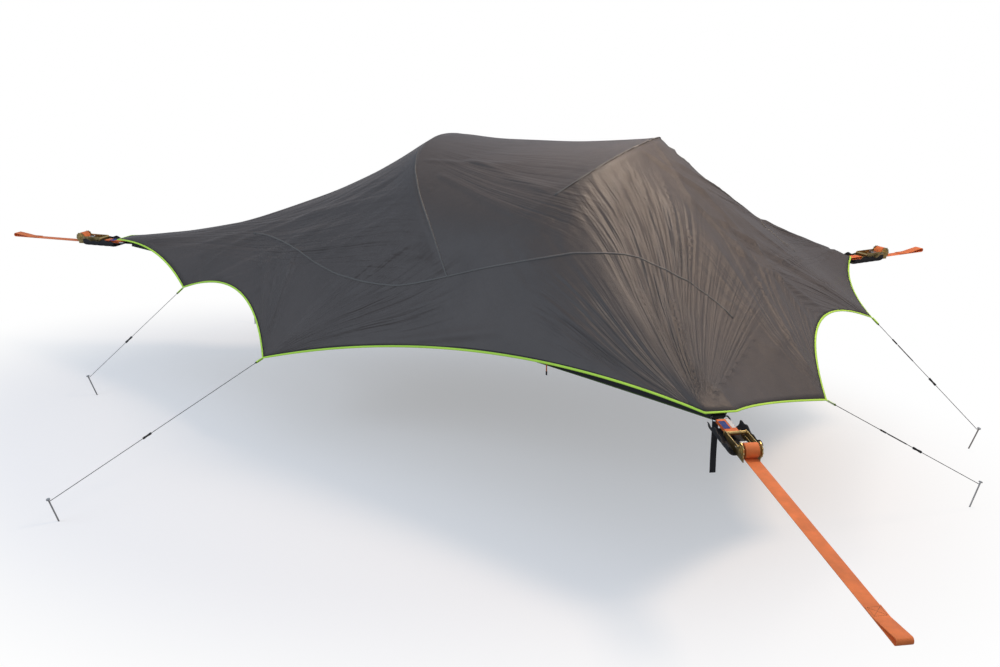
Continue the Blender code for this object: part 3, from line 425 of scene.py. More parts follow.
def archHem(first, last, inwards, into, rise, steps):
    line = []
    for share in spaced(0.0, 1.0, steps):
        bow = 1 - (2 * share - 1) ** 2
        line.append(first.lerp(last, share) + (inwards * into + up * rise) * bow)
    return line


flyHemValues = {
    "cornerCut": 0.120,
    "cornerLift": 0.012,
    "foot": (0.040, 0.054),
    "footArch": (0.120, 0.139),
    "side": (0.080, 0.124),
    "head": (0.050, 0.001),
    "headArch": (0.150, 0.148),
    "steps": (4, 6, 12, 4, 4),
    "rings": 7,
    "loopSteps": 16,
    "thickness": 0.0015,
    "overPole": 0.0006,
}
footGuyPoint = alongSide * 0.770 + outSide * 0.100 - up * 0.134
sideGuyPoint = alongSide * 1.740 + outSide * 0.280 - up * 0.280
headGuyPoint = Vector((plan["length"] + 0.273, -0.653, -0.136))


def flyHem(values):
    lift = up * values["cornerLift"]
    halfCut = values["cornerCut"] / 2
    footEnd = Vector((0.0, -halfCut, 0.0)) + lift
    nearFirst = nearCorner - nearAcross * halfCut + lift
    nearLast = nearCorner + nearAcross * halfCut + lift
    toFoot = Vector((-1.0, 0.0, 0.0))
    steps = values["steps"]
    near = [lift]
    near += archHem(footEnd, footGuyPoint, -outSide, *values["foot"], steps[0])
    near += archHem(footGuyPoint, sideGuyPoint, -outSide, *values["footArch"], steps[1])[1:]
    near += archHem(sideGuyPoint, nearFirst, -outSide, *values["side"], steps[2])[1:]
    near += archHem(nearLast, headGuyPoint, toFoot, *values["head"], steps[3])
    head = archHem(headGuyPoint, mirror @ headGuyPoint, toFoot, *values["headArch"], 2 * steps[4])
    return bothSides(near + head[1 : steps[4] + 1])


webHalf = 0.025


def cornerBack(inset, halfAngle):
    return (webHalf + inset / cos(halfAngle)) / tan(halfAngle)


def floorEdge(inset, sideSteps, baseSteps):
    line = [Vector((cornerBack(inset, footHalfAngle), 0.0, 0.0))]
    heading = strapHeading(nearTurnDeg)
    cutMiddle = nearCorner - heading * cornerBack(inset, nearHalfAngle)
    footEnd = line[0] - Vector((0.0, webHalf, 0.0))
    line += archHem(footEnd, cutMiddle - nearAcross * webHalf, -outSide, plan["sideBow"], 0.0, sideSteps)
    toward = Vector((-1.0, 0.0, 0.0))
    baseEnd = cutMiddle + nearAcross * webHalf
    base = archHem(baseEnd, mirror @ baseEnd, toward, plan["baseBow"], 0.0, 2 * baseSteps)
    return bothSides(line + base[: baseSteps + 1])


tension = {"foot": 2.0, "head": 0.3, "cross": 0.3, "length": 2.0, "spoke": 20.0, "slack": 0.3}


def stretchedCloth(loop, hem, rings, spokeSteps):  # each free point lies where its threads balance
    around = len(loop)
    steps = around // 4
    ringPoints = [[j * around + i for i in range(around)] for j in range(rings + 1)]
    count = (rings + 1) * around

    def saddlePoint(i, j):
        if j == 0:
            return i
        if i == steps:
            return steps + j
        if j == steps:
            return 3 * steps - i
        if i == 0:
            return around - j
        return count + (i - 1) * (steps - 1) + j - 1

    total = count + (steps - 1) ** 2
    place = np.zeros((total, 3))
    place[:around] = [tuple(point) for point in loop]
    place[rings * around : count] = [tuple(point) for point in hem]
    held = np.zeros(total, bool)
    held[:around] = True
    held[rings * around : count] = True
    pull = np.zeros((total, total))

    def thread(a, b, amount):
        pull[a, b] += amount
        pull[b, a] += amount

    for j in range(rings):
        for i in range(around):
            thread(ringPoints[j][i], ringPoints[j + 1][i], 1.0)
    for j in range(1, rings):
        for i in range(around):
            apart = min(i + 0.5, around - i - 0.5) - steps
            amount = tension["foot"] if apart < 0 else tension["head"]
            amount *= min(abs(apart) / (tension["slack"] * steps), 1.0)
            thread(ringPoints[j][i], ringPoints[j][(i + 1) % around], amount)
    for i in range(steps + 1):
        for j in range(steps):
            thread(saddlePoint(i, j), saddlePoint(i, j + 1), tension["cross"])
            thread(saddlePoint(j, i), saddlePoint(j + 1, i), tension["cross"])
    for i in range(steps):
        for j in range(steps):
            thread(saddlePoint(i, j), saddlePoint(i + 1, j + 1), tension["length"])
    for side in (-spokeSteps, spokeSteps):
        spoke = [ringPoints[j][2 * steps + round(side * j / rings)] for j in range(rings + 1)]
        for a, b in zip(spoke, spoke[1:]):
            thread(a, b, tension["spoke"])
    balance = np.diag(pull.sum(axis=1)) - pull
    free = ~held
    inner = balance[np.ix_(free, free)]
    place[free] = np.linalg.solve(inner, -balance[np.ix_(free, held)] @ place[held])
    quads = []
    for j in range(rings):
        near, away = ringPoints[j], ringPoints[j + 1]
        for i in range(around):
            beside = (i + 1) % around
            quads.append([near[i], away[i], away[beside], near[beside]])
    for i in range(steps):
        for j in range(steps):
            corners = ((i, j), (i + 1, j), (i + 1, j + 1), (i, j + 1))
            quads.append([saddlePoint(a, b) for a, b in corners])
    rows = place[:count].reshape(rings + 1, around, 3)
    order = [[saddlePoint(i, j) for j in range(steps + 1)] for i in range(steps + 1)]
    return [Vector(point) for point in place], quads, rows, place[np.array(order)]


def restedCloth(loop, hem, rings, spokeSteps, reach):  # the loop settles on the poles in three rounds
    points, quads, rows, saddle = stretchedCloth(loop, hem, rings, spokeSteps)
    for _ in range(3):
        settled = laidOn(loop, points, quads, reach)
        points, quads, rows, saddle = stretchedCloth(settled, hem, rings, spokeSteps)
    return points, quads, rows, saddle


def finer(rows, factor, closed=False):  # a smooth curve through the rows, along the first axis
    count = len(rows)
    if closed:
        line = np.concatenate([rows[-1:], rows, rows[:2]])
    else:
        line = np.concatenate([2 * rows[:1] - rows[1:2], rows, 2 * rows[-1:] - rows[-2:-1]])
    made = []
    for k in range(count if closed else count - 1):
        a, b, c, d = line[k : k + 4]
        for step in range(factor):
            t = step / factor
            made.append(0.5 * (2 * b + (c - a) * t + (2 * a - 5 * b + 4 * c - d) * t**2
                               + (3 * b - a - 3 * c + d) * t**3))
    if not closed:
        made.append(rows[-1])
    return np.array(made)


def fineCloth(rows, saddle, roundFactor, ringFactor):  # the same cloth on a finer grid
    dense = finer(finer(saddle, roundFactor).transpose(1, 0, 2), roundFactor).transpose(1, 0, 2)
    loop = np.concatenate([dense[:-1, 0], dense[-1, :-1], dense[:0:-1, -1], dense[0, :0:-1]])
    rings = finer(finer(rows, ringFactor).transpose(1, 0, 2), roundFactor, True).transpose(1, 0, 2).copy()
    rings[0] = loop
    return rings, dense


def gridCloth(rings, dense):  # one list of points, with the quads of both grids
    rows, around = rings.shape[:2]
    size = dense.shape[0]
    index = np.zeros((size, size), int)
    index[1:-1, 1:-1] = rows * around + np.arange((size - 2) ** 2).reshape(size - 2, size - 2)
    side = size - 1
    for k in range(size):
        index[k, 0] = k
        index[side, k] = side + k
        index[k, side] = 3 * side - k
        index[0, k] = (around - k) % around
    index[0, 0] = 0
    points = np.concatenate([rings.reshape(-1, 3), dense[1:-1, 1:-1].reshape(-1, 3)])
    quads = []
    for row in range(0, (rows - 1) * around, around):
        for i in range(around):
            beside = (i + 1) % around
            quads.append([row + i, row + around + i, row + around + beside, row + beside])
    for i in range(side):
        for j in range(side):
            quads.append([index[i, j], index[i + 1, j], index[i + 1, j + 1], index[i, j + 1]])
    return points, quads


def normalsOf(points, quads):
    faces = np.array(quads)
    a, b, c, d = [points[faces[:, k]] for k in range(4)]
    face = np.cross(c - a, d - b)
    normals = np.zeros_like(points)
    for k in range(4):
        np.add.at(normals, faces[:, k], face)
    normals /= np.linalg.norm(normals, axis=1)[:, None] + 1e-12
    if normals[:, 2].sum() < 0:
        normals = -normals
    return normals


def closedSheet(name, points, quads, normals, thickness, rimLoop, uvs):
    count = len(points)
    inner = points - normals * thickness
    a, b, c = [points[quads[0][k]] for k in range(3)]
    flip = np.cross(b - a, c - a) @ normals[quads[0][0]] < 0
    top = [q[::-1] if flip else list(q) for q in quads]
    faces = top + [[i + count for i in reversed(q)] for q in top]
    for k, here in enumerate(rimLoop):
        there = rimLoop[(k + 1) % len(rimLoop)]
        faces.append([here, there, there + count, here + count])
    made = meshObject(name, np.concatenate([points, inner]), faces, np.concatenate([uvs, uvs]))
    return outwards(made)


# The flysheet

flyValues = {
    "roundFactor": 8,
    "ringFactor": 6,
    "stretchDepth": 0.0011,
    "waveDepth": 0.0021,
    "pullDepth": 0.016,
    "seamWidth": 0.010,
    "seamHeight": 0.0030,
    "headSeamWidth": 0.011,
    "headSeamHeight": 0.0014,
    "hemShare": 0.72,
    "foldWidths": (0.6, 0.8),
    "foldFade": (0.12, 0.20, 1.15, 0.35),
    "foldBrow": 0.9,
    "stretchWaves": ((23, 0.9), (37, 0.8), (59, 0.7), (83, 0.5), (127, 0.35)),
    "stretchStart": 0.15,
    "stretchSway": (2.2, 3.1),
    "stretchFootward": (2.6, 1.5, 0.6, 0.9),
    "broadWaves": 14,
    "broadRates": (7, 22),
    "lowest": -0.006,
    "highest": 0.016,
    "poleClear": 0.012,
    "poleFade": 0.07,
    "hemFade": 0.04,
    # Folds: first and last pixel on the near side, half width and depth in metres
    "folds": (
        ((655, 142), (668, 165), 0.022, 0.010),
        ((668, 160), (694, 208), 0.026, 0.010),
        ((650, 145), (628, 175), 0.022, 0.009),
        ((628, 172), (612, 215), 0.028, 0.008),
        ((660, 170), (690, 300), 0.035, 0.010),
        ((640, 175), (676, 330), 0.034, 0.009),
        ((690, 235), (701, 405), 0.030, 0.012),
        ((672, 300), (704, 408), 0.024, 0.010),
        ((640, 290), (700, 409), 0.026, 0.010),
        ((760, 280), (722, 404), 0.030, 0.010),
        ((730, 300), (716, 404), 0.024, 0.010),
        ((790, 330), (735, 404), 0.026, 0.008),
        ((700, 190), (780, 270), 0.035, 0.010),
        ((720, 215), (822, 395), 0.034, 0.011),
        ((745, 230), (815, 330), 0.028, 0.007),
        ((600, 170), (560, 240), 0.035, 0.007),
        ((575, 185), (520, 262), 0.035, 0.007),
        ((470, 160), (560, 195), 0.035, 0.006),
        ((440, 175), (545, 230), 0.035, 0.005),
        ((425, 160), (520, 165), 0.030, 0.004),
        ((265, 352), (390, 285), 0.032, 0.009),
        ((263, 345), (300, 240), 0.028, 0.008),
        ((268, 354), (445, 300), 0.030, 0.008),
        ((270, 356), (500, 330), 0.026, 0.007),
        ((186, 282), (215, 240), 0.020, 0.006),
        ((188, 282), (250, 235), 0.022, 0.006),
        ((130, 241), (260, 262), 0.022, 0.004),
        ((132, 241), (300, 225), 0.022, 0.004),
        ((134, 242), (240, 285), 0.018, 0.004),
        ((390, 180), (250, 235), 0.035, 0.005),
        ((400, 215), (260, 265), 0.035, 0.005),
        ((410, 245), (300, 300), 0.035, 0.005),
        ((430, 190), (300, 215), 0.030, 0.004),
    ),
}


def smoothStep(values):
    clipped = np.clip(values, 0.0, 1.0)
    return clipped * clipped * (3 - 2 * clipped)


def toWorld(points):
    return points + np.array(tentPlace)


def sharpHem(values, factor):  # the hem with factor points for each coarse one, corners kept
    steps = [count * factor for count in values["steps"]]
    line = flyHem({**values, "steps": steps})
    cut = 1 + sum(steps[:3])
    near = line[: cut + 2 + sum(steps[3:])]
    first = [near[0].lerp(near[1], k / factor) for k in range(factor)]
    middle = [near[cut].lerp(near[cut + 1], k / factor) for k in range(factor)]
    return np.array(bothSides(first + near[1:cut] + middle + near[cut + 1 :]))


reachOver = hoops["poleRadius"] + flyHemValues["overPole"] + flyHemValues["thickness"]
flyRows, flySaddle = restedCloth(
    hoopLoop(flyHemValues["loopSteps"], True), flyHem(flyHemValues), flyHemValues["rings"],
    flyHemValues["steps"][-1], reachOver)[2:]
flyRings, flyDense = fineCloth(flyRows, flySaddle, flyValues["roundFactor"], flyValues["ringFactor"])
flyRowCount, flyAround = flyRings.shape[:2]
# The hem keeps its sharp corners: the smoothed rim is moved onto the true arches
rimShift = sharpHem(flyHemValues, flyValues["roundFactor"]) - flyRings[-1]
hemStart = flyValues["hemShare"]
ringShare = smoothStep((np.arange(flyRowCount) / (flyRowCount - 1) - hemStart) / (1 - hemStart))
flyRings = flyRings + ringShare[:, None, None] * rimShift[None]
flyPoints, flyQuads = gridCloth(flyRings, flyDense)
flyPoints = toWorld(flyPoints)
flyNormals = normalsOf(flyPoints, flyQuads)
bareTree = BVHTree.FromPolygons([tuple(p) for p in flyPoints], flyQuads)


def onSurface(tree, x, y):  # where the ray through a pixel meets a surface
    return tree.ray_cast(eye, pixelRay(x, y))[0]


def foldedCloth(points, values):  # how far the drawn folds, and their mirrors, lift each point
    moved = np.zeros(len(points))
    flip = np.array([1.0, -1.0, 1.0])
    narrow, widening = values["foldWidths"]
    before, leadIn, after, leadOut = values["foldFade"]
    for first, last, width, depth in values["folds"]:
        a, b = onSurface(bareTree, *first), onSurface(bareTree, *last)
        for side in (np.ones(3), flip):
            start, end = np.array(a) * side, np.array(b) * side
            run = end - start
            length = np.linalg.norm(run)
            share = ((points - start) @ run) / length**2
            near = np.clip(share, 0.0, 1.0)
            apart = np.linalg.norm(points - start - near[:, None] * run, axis=1)
            # The fold bows a little with the curve of the cloth, so only the distance counts
            spread = apart / (width * (narrow + widening * near))
            ends = smoothStep((share + before) / leadIn) * smoothStep((after - share) / leadOut)
            moved += depth * ends * (1 - values["foldBrow"] * spread**2) * np.exp(-(spread**2))
    return moved


# Fans of folds by layer: centre pixel, folds per radian, and lobes of aim pixel, half angle,
# first and last distance in pixels and strength
pullFans = {
    "Main": (
        ((704, 418), 27.0, (((640, 185), 0.34, 12.0, 300.0, 1.0), ((545, 285), 0.32, 14.0, 230.0, 0.6),
                            ((700, 240), 0.22, 12.0, 200.0, 0.5), ((760, 260), 0.30, 12.0, 190.0, 0.3))),
        ((262, 360), 24.0, (((390, 288), 0.42, 10.0, 240.0, 0.6), ((280, 235), 0.34, 10.0, 150.0, 0.5))),
        ((652, 134), 12.0, (((690, 196), 0.45, 8.0, 90.0, 0.6),)),
    ),
    "Cross": (
        ((833, 405), 26.0, (((748, 240), 0.36, 10.0, 260.0, 0.8),)),
        ((118, 243), 60.0, (((330, 225), 0.30, 14.0, 330.0, 0.4),)),
        ((360, 128), 44.0, (((540, 186), 0.26, 62.0, 270.0, 0.36),)),
    ),
}


pullShape = {
    "edge": 0.7,
    "start": 14.0,
    "end": 0.4,
    "deepening": (0.35, 300.0),
    "bend": (0.03, 40.0),
    "drawnOut": 120.0,
    "apart": 9.7,
    "rival": 2.0,
    "most": 1.5,
    "meshWaves": ((0.30, 1.0), (0.55, 0.5)),
    "meshDrawn": 0.6,
    "meshApart": 3.3,
}


def picturePlace(points):  # the pixels of points, each taken on the near side of the tent
    folded = np.array(points)
    folded[:, 1] = -np.abs(folded[:, 1])
    away = folded - np.array(eye)
    scale = pixelReach / (away @ np.array(ahead))
    return centreX + away @ np.array(right) * scale, centreY - away @ np.array(above) * scale


def fanField(points, fans, shape):  # each point's place in its fan, and how strongly it is pulled
    px, py = picturePlace(points)
    shallow, deepening = shape["deepening"]
    sway, swayReach = shape["bend"]
    masks, spots = [], []
    for k, (centre, rate, lobes) in enumerate(fans):
        dx, dy = px - centre[0], py - centre[1]
        distance, total = np.hypot(dx, dy), np.zeros(len(px))
        aim = lobes[0][0]
        middle = atan2(aim[1] - centre[1], aim[0] - centre[0])
        angle = (np.arctan2(dy, dx) - middle + pi) % (2 * pi) - pi
        for aim, half, first, last, strength in lobes:
            turned = atan2(aim[1] - centre[1], aim[0] - centre[0]) - middle
            mask = smoothStep((half - np.abs(angle - turned)) / (half * shape["edge"]))
            mask *= smoothStep((distance - first) / (first + shape["start"]))
            mask *= smoothStep((last - distance) / (last * shape["end"])) * strength
            total = np.maximum(total, mask)
        # Folds widen with the distance, so their height grows with it too
        masks.append(total * (shallow + distance / deepening))
        turn = (angle + sway * np.sin(distance / swayReach + k)) * rate
        layer = np.full(len(px), shape["apart"] * k)
        spots.append(np.stack([turn, distance / shape["drawnOut"], layer], axis=1))
    masks = np.array(masks)
    order = np.argsort(masks, axis=0)
    best, second = order[-1], order[-2]
    each = np.arange(len(px))
    weight = np.clip(masks[best, each] - shape["rival"] * masks[second, each], 0.0, shape["most"])
    return weight, np.array(spots)[best, each]


pullFields = {layer: fanField(flyPoints, fans, pullShape) for layer, fans in pullFans.items()}


def pulledLift(shape):  # the wider folds of the fans, in the mesh itself
    total = np.zeros(len(flyPoints))
    drawn, apart = shape["meshDrawn"], shape["meshApart"]
    for weight, spots in pullFields.values():
        for share, height in shape["meshWaves"]:
            heights = [noise.noise(Vector((x * share, y * drawn, z + apart))) for x, y, z in spots]
            total += weight * height * np.array(heights)
    return total


def pullAttributes(made):
    for layer, (weight, spots) in pullFields.items():
        data = made.data.attributes.new("pullFan" + layer, "FLOAT_VECTOR", "POINT")
        data.data.foreach_set("vector", np.concatenate([spots, spots]).ravel())
        data = made.data.attributes.new("pullWeight" + layer, "FLOAT", "POINT")
        data.data.foreach_set("value", np.concatenate([weight, weight]))


onRings = np.arange(len(flyPoints)) < flyRowCount * flyAround
turnShare = np.where(onRings, np.arange(len(flyPoints)) % flyAround / flyAround, 0.0)
rowShare = np.where(onRings, np.arange(len(flyPoints)) // flyAround / (flyRowCount - 1), 0.0)
rng = np.random.default_rng(7)


def stretchFolds(values):  # fine folds that run from the poles to the hem
    total = np.zeros(len(flyPoints))
    swayTurn, swayRate = values["stretchSway"]
    station, run, headShare, gain = values["stretchFootward"]
    for waves, share in values["stretchWaves"]:
        phase, sway = rng.uniform(0, 2 * pi, 2)
        bend = swayTurn * np.sin(rowShare * swayRate + sway)
        total += share * np.sin(2 * pi * waves * turnShare + phase + bend)
    footward = smoothStep((station - (flyPoints[:, 0] - tentPlace.x)) / run)
    total *= smoothStep(rowShare / values["stretchStart"]) * (headShare + gain * footward)
    return total * values["stretchDepth"]


def broadWaves(values):  # the cloth's slow unevenness
    total = np.zeros(len(flyPoints))
    for _ in range(values["broadWaves"]):
        heading = rng.normal(size=3)
        heading /= np.linalg.norm(heading)
        rate, phase = rng.uniform(*values["broadRates"]), rng.uniform(0, 2 * pi)
        total += np.sin(flyPoints @ heading * rate + phase)
    return total * (values["waveDepth"] / values["broadWaves"] ** 0.5)


def clearOfPoles(values):  # none on the poles and at the hem, where the cloth is held
    apart = np.full(len(flyPoints), np.inf)
    for spot in flyPoints[: flyAround : values["roundFactor"] // 2]:
        apart = np.minimum(apart, np.linalg.norm(flyPoints - spot, axis=1))
    hemward = np.where(onRings, smoothStep((1.0 - rowShare) / values["hemFade"]), 1.0)
    return smoothStep((apart - values["poleClear"]) / values["poleFade"]) * hemward


stretch = stretchFolds(flyValues)
lift = foldedCloth(flyPoints, flyValues) + broadWaves(flyValues)
lift += pulledLift(pullShape) * flyValues["pullDepth"]
lift = np.clip(lift, flyValues["lowest"], flyValues["highest"]) + stretch
lift *= clearOfPoles(flyValues)
flyPoints = flyPoints + flyNormals * lift[:, None]
flyNormals = normalsOf(flyPoints, flyQuads)
flyUv = np.stack([flyPoints[:, 0], flyPoints[:, 1]], axis=1)
flyRim = [(flyRowCount - 1) * flyAround + i for i in range(flyAround)]
flysheet = closedSheet(
    "flysheet_cloth", flyPoints, flyQuads, flyNormals, flyHemValues["thickness"], flyRim, flyUv)
pullAttributes(flysheet)
finish(flysheet, "flyCloth", "tent", "fly_cloth", "flysheet")
flyTree = BVHTree.FromPolygons([tuple(p) for p in flyPoints], flyQuads)
print("flysheet made:", len(flyQuads), "quads")


def surfaceFrame(tree, point):
    met, normal, _, _ = tree.find_nearest(point)
    return Vector(met), Vector(normal)


def ribbon(name, line, normals, width, height, closed=False):  # a low rounded tape along a line
    count = len(line)
    section = ((-0.5, -0.4), (-0.42, 0.55), (-0.2, 1.0), (0.2, 1.0), (0.42, 0.55), (0.5, -0.4))
    points, uvs, length = [], [], 0.0
    for k in range(count):
        here = line[k]
        before = line[k - 1] if (closed or k) else here
        after = line[(k + 1) % count] if (closed or k < count - 1) else here
        along = (after - before).normalized()
        normal = normals[k]
        across = along.cross(normal).normalized()
        length += (here - line[k - 1]).length if k else 0.0
        for s, h in section:
            points.append(here + across * (s * width) + normal * (h * height))
            uvs.append((length, s * width))
    return outwards(meshObject(name, points, bandFaces(count, len(section), closed), uvs))


def alongPixels(tree, pixels, spacing):  # points on a surface under a line drawn between pixels
    met = [onSurface(tree, x, y) for x, y in evenly(pixels, spacing)]
    return [point for point in met if point is not None]


def facingOut(point, normal):
    return normal if normal.dot(point - tentPlace - hoopMiddle) > 0 else -normal


# The seams are laid in the paler tape, which paints a highlight along each raised seam
def seamOnFly(name, line, width=flyValues["seamWidth"], height=flyValues["seamHeight"]):
    met = [surfaceFrame(flyTree, point) for point in line]
    normals = [n if n.z > 0 else facingOut(p, n) for p, n in met]
    made = ribbon(name, [p for p, _ in met], normals, width, height)
    return finish(made, "seamTape", "tent", "fly_cloth")


seamPixels = {
    "long": ((254, 233), (272, 236), (295, 248), (317, 264), (337, 274), (364, 282), (395, 286), (417, 283),
             (449, 276), (484, 268), (529, 260), (574, 253), (606, 253), (633, 255), (646, 261), (662, 268),
             (684, 279), (706, 294), (724, 308), (733, 318)),
    "hoop": ((419, 150), (415, 161), (416, 176), (420, 197), (428, 220), (447, 277)),
}
for key, pixels in seamPixels.items():
    nearLine = alongPixels(flyTree, pixels, 4.0)
    nearLine = [Vector(p) for p in finer(np.array(nearLine[::3] + nearLine[-1:]), 3)]
    seamOnFly("fly_seam_" + key + "_near", nearLine)
    seamOnFly("fly_seam_" + key + "_far", [mirror @ point for point in nearLine])
headApex = flyAround // 2
headTape = [Vector(p) for p in flyPoints[3 * headApex // 4 : headApex + 1 : 2]]
headTape += [mirror @ point for point in reversed(headTape[:-1])]
seamOnFly("fly_seam_head_hoop", headTape,
                       flyValues["headSeamWidth"], flyValues["headSeamHeight"])

bindingValues = {
    "sides": 10,
    "halfWidth": 0.0052,
    "halfHeight": 0.0023,
    "outward": 0.0005,
    "stitchInset": 0.009,
    "stitchWidth": 0.006,
    "stitchHeight": 0.0009,
}
hemLine = [Vector(p) for p in flyPoints[(flyRowCount - 1) * flyAround :][:flyAround]]
hemInner = [Vector(p) for p in flyPoints[(flyRowCount - 3) * flyAround :][:flyAround]]


def bindingTape(name, line, inner, values):  # folded tape sewn round the hem, a flat oval in section
    count = len(line)
    points, uvs, length = [], [], 0.0
    wide, sides = values["halfWidth"], values["sides"]
    for k in range(count):
        here = line[k]
        tangent = (line[(k + 1) % count] - line[k - 1]).normalized()
        outward = here - inner[k]
        outward = (outward - tangent * outward.dot(tangent)).normalized()
        normal = tangent.cross(outward).normalized()
        length += (here - line[k - 1]).length if k else 0.0
        for s in range(sides):
            turn = 2 * pi * s / sides
            reach = wide * cos(turn) + values["outward"]
            points.append(here + outward * reach + normal * (values["halfHeight"] * sin(turn)))
            uvs.append((length, wide * turn))
    return outwards(meshObject(name, points, bandFaces(count, sides, True), uvs))


binding = bindingTape("fly_binding_tape", hemLine, hemInner, bindingValues)
finish(binding, "limeTape", "tent", "lime_tape", "fly_binding")
innerLine = [p + (q - p).normalized() * bindingValues["stitchInset"] for p, q in zip(hemLine, hemInner)]
innerMet = [surfaceFrame(flyTree, p) for p in innerLine]
innerNormals = [facingOut(p, n) for p, n in innerMet]
stitchBand = ribbon("fly_stitch_band", [p for p, _ in innerMet], innerNormals,
                    bindingValues["stitchWidth"], bindingValues["stitchHeight"], True)
finish(stitchBand, "darkTape", "tent", "fly_cloth")


def areaOf(made):  # one face of a closed sheet
    return sum(face.area for face in made.data.polygons) / 2


# The inner canopy and its doors

canopyValues = {
    "inset": 0.085,
    "thickness": 0.0015,
    "rise": 0.0019,
    "reach": -0.0059,
    "loopSteps": 8,
    "rings": 4,
    "baseSteps": 5,
    "factor": 5,
    "doorStation": 3.300,
    "doorWidth": 0.700,
    "doorHeight": 0.500,
    "doorSill": 0.030,
    "doorDepth": 0.12,
    "doorSteps": 48,
    "zipGap": 0.0010,
    "zipSteps": 60,
    "zipSearch": (0.3, 140),
    "zipAside": 0.008,
    "zipLift": 0.0022,
    "zipWidth": 0.008,
    "zipHeight": 0.0016,
}


def makeCanopy(values):
    sideSteps = 2 * values["loopSteps"] - values["baseSteps"] - 2
    hem = [p + up * values["rise"] for p in floorEdge(values["inset"], sideSteps, values["baseSteps"])]
    points, quads, rows, saddle = restedCloth(
        hoopLoop(values["loopSteps"], False), hem, values["rings"], values["baseSteps"], values["reach"])
    coarse = BVHTree.FromPolygons([tuple(p + tentPlace) for p in points], quads)
    rings, dense = fineCloth(rows, saddle, values["factor"], values["factor"])
    fine, fineQuads = gridCloth(rings, dense)
    fine = toWorld(fine)
    normals = normalsOf(fine, fineQuads)
    rim = [(rings.shape[0] - 1) * rings.shape[1] + i for i in range(rings.shape[1])]
    uvs = np.stack([fine[:, 0], fine[:, 1] + fine[:, 2]], axis=1)
    return closedSheet("canopy_whole", fine, fineQuads, normals, values["thickness"], rim, uvs), coarse


def doorWall(tree, values):  # a frame on the near wall: x to the head, y up the wall, zero mid-sill
    level = tentPlace + alongSide * (values["doorStation"] * sideLength / plan["length"])
    met = []
    for height in (values["doorSill"], values["doorSill"] + values["doorHeight"] / 2):
        met.append(tree.ray_cast(level + up * height, -outSide)[0])
    rise = (met[1] - met[0]).normalized()
    turn = Matrix((alongSide, rise, alongSide.cross(rise))).transposed().to_4x4()
    return Matrix.Translation(met[0]) @ turn


def doorOutline(values, grown, steps):
    half, height = values["doorWidth"] / 2 + grown, values["doorHeight"] + grown
    return [(half * cos(t), height * sin(t) - grown) for t in spaced(0.0, pi, steps)]


def doorPrism(wall, values, grown):  # cuts the wall to its depth on both sides of the wall's frame
    outline = doorOutline(values, grown, values["doorSteps"])
    depth = values["doorDepth"]
    points = [wall @ Vector((x, y, z)) for z in (-depth, depth) for x, y in outline]
    count = len(outline)
    faces = [list(range(count)), list(range(2 * count - 1, count - 1, -1))]
    faces += ringFaces([0, count], count)
    return outwards(meshObject("door_prism", points, faces))


def mirroredCopy(made, name):
    data = made.data.copy()
    data.transform(mirror)
    data.flip_normals()
    copy = bpy.data.objects.new(name, data)
    bpy.context.scene.collection.objects.link(copy)
    return copy


def cutBy(made, tool, operation):
    step = made.modifiers.new("cut", "BOOLEAN")
    step.operation = operation
    step.object = tool
    return applyAll(made)


canopyWhole, canopyTree = makeCanopy(canopyValues)
wall = doorWall(canopyTree, canopyValues)
panelPrism = doorPrism(wall, canopyValues, 0.0)
cutPrism = doorPrism(wall, canopyValues, canopyValues["zipGap"])
prisms = {"near": panelPrism, "far": mirroredCopy(panelPrism, "door_prism_far")}
cuts = [cutPrism, mirroredCopy(cutPrism, "cut_prism_far")]
doors = {}
for side, prism in prisms.items():
    doors[side] = bpy.data.objects.new("door_cloth_" + side, canopyWhole.data.copy())
    bpy.context.scene.collection.objects.link(doors[side])
    cutBy(doors[side], prism, "INTERSECT")
for tool in cuts:
    cutBy(canopyWhole, tool, "DIFFERENCE")
canopyWhole.name = "canopy_net"
for tool in (*prisms.values(), *cuts):
    bpy.data.objects.remove(tool)
finish(canopyWhole, "meshCloth", "tent", "mesh_cloth", "inner_canopy")
for side, door in doors.items():
    finish(door, "meshCloth", side + "_door", "mesh_cloth", "door_" + side)
print("canopy area:", round(areaOf(canopyWhole), 3), "door area:", round(areaOf(doors["near"]), 3))


def zipAlong(name, side, body, aside, values):  # the zip tape beside a door's cut
    line, normals = [], []
    outward = wall.to_3x3() @ up
    depth = values["doorDepth"]
    for x, y in doorOutline(values, aside, values["zipSteps"]):
        # Where the wall bends out of the cut's depth, the cut lies nearer to the sill
        for share in spaced(1.0, *values["zipSearch"]):
            start = wall @ Vector((x * share, y * share, depth))
            met, normal = canopyTree.ray_cast(start, -outward, 2.0 * depth + aside)[:2]
            if met is not None:
                break
        normal = normal if normal.dot(outward) > 0 else -normal
        line.append(met + normal * values["zipLift"])
        normals.append(normal)
    if side == "far":
        line = [mirror @ p for p in line]
        normals = [mirror @ n for n in normals]
    made = ribbon(name + side, line, normals, values["zipWidth"], values["zipHeight"])
    return finish(made, "darkTape", body, "mesh_cloth")


for side in ("near", "far"):
    zipAlong("canopy_zip_", side, "tent", canopyValues["zipAside"], canopyValues)
    zipAlong("door_zip_", side, side + "_door", -canopyValues["zipAside"], canopyValues)

# The floor

floorValues = {
    "margin": 0.100,
    "sag": 0.100,
    "depth": 0.030,
    "thickness": 0.002,
    "sideSteps": 48,
    "baseSteps": 16,
    "rings": 12,
    "firstRing": 0.04,
    "pipingWidth": 0.0045,
    "pipingSteps": (60, 20),
    # Drop under the floor's edge, reach beyond it, and height; the low one is flat, as the tail passes it
    "piping": {"top": (0.003, 0.0012, 0.0022), "low": (0.0275, 0.0004, 0.0010)},
}


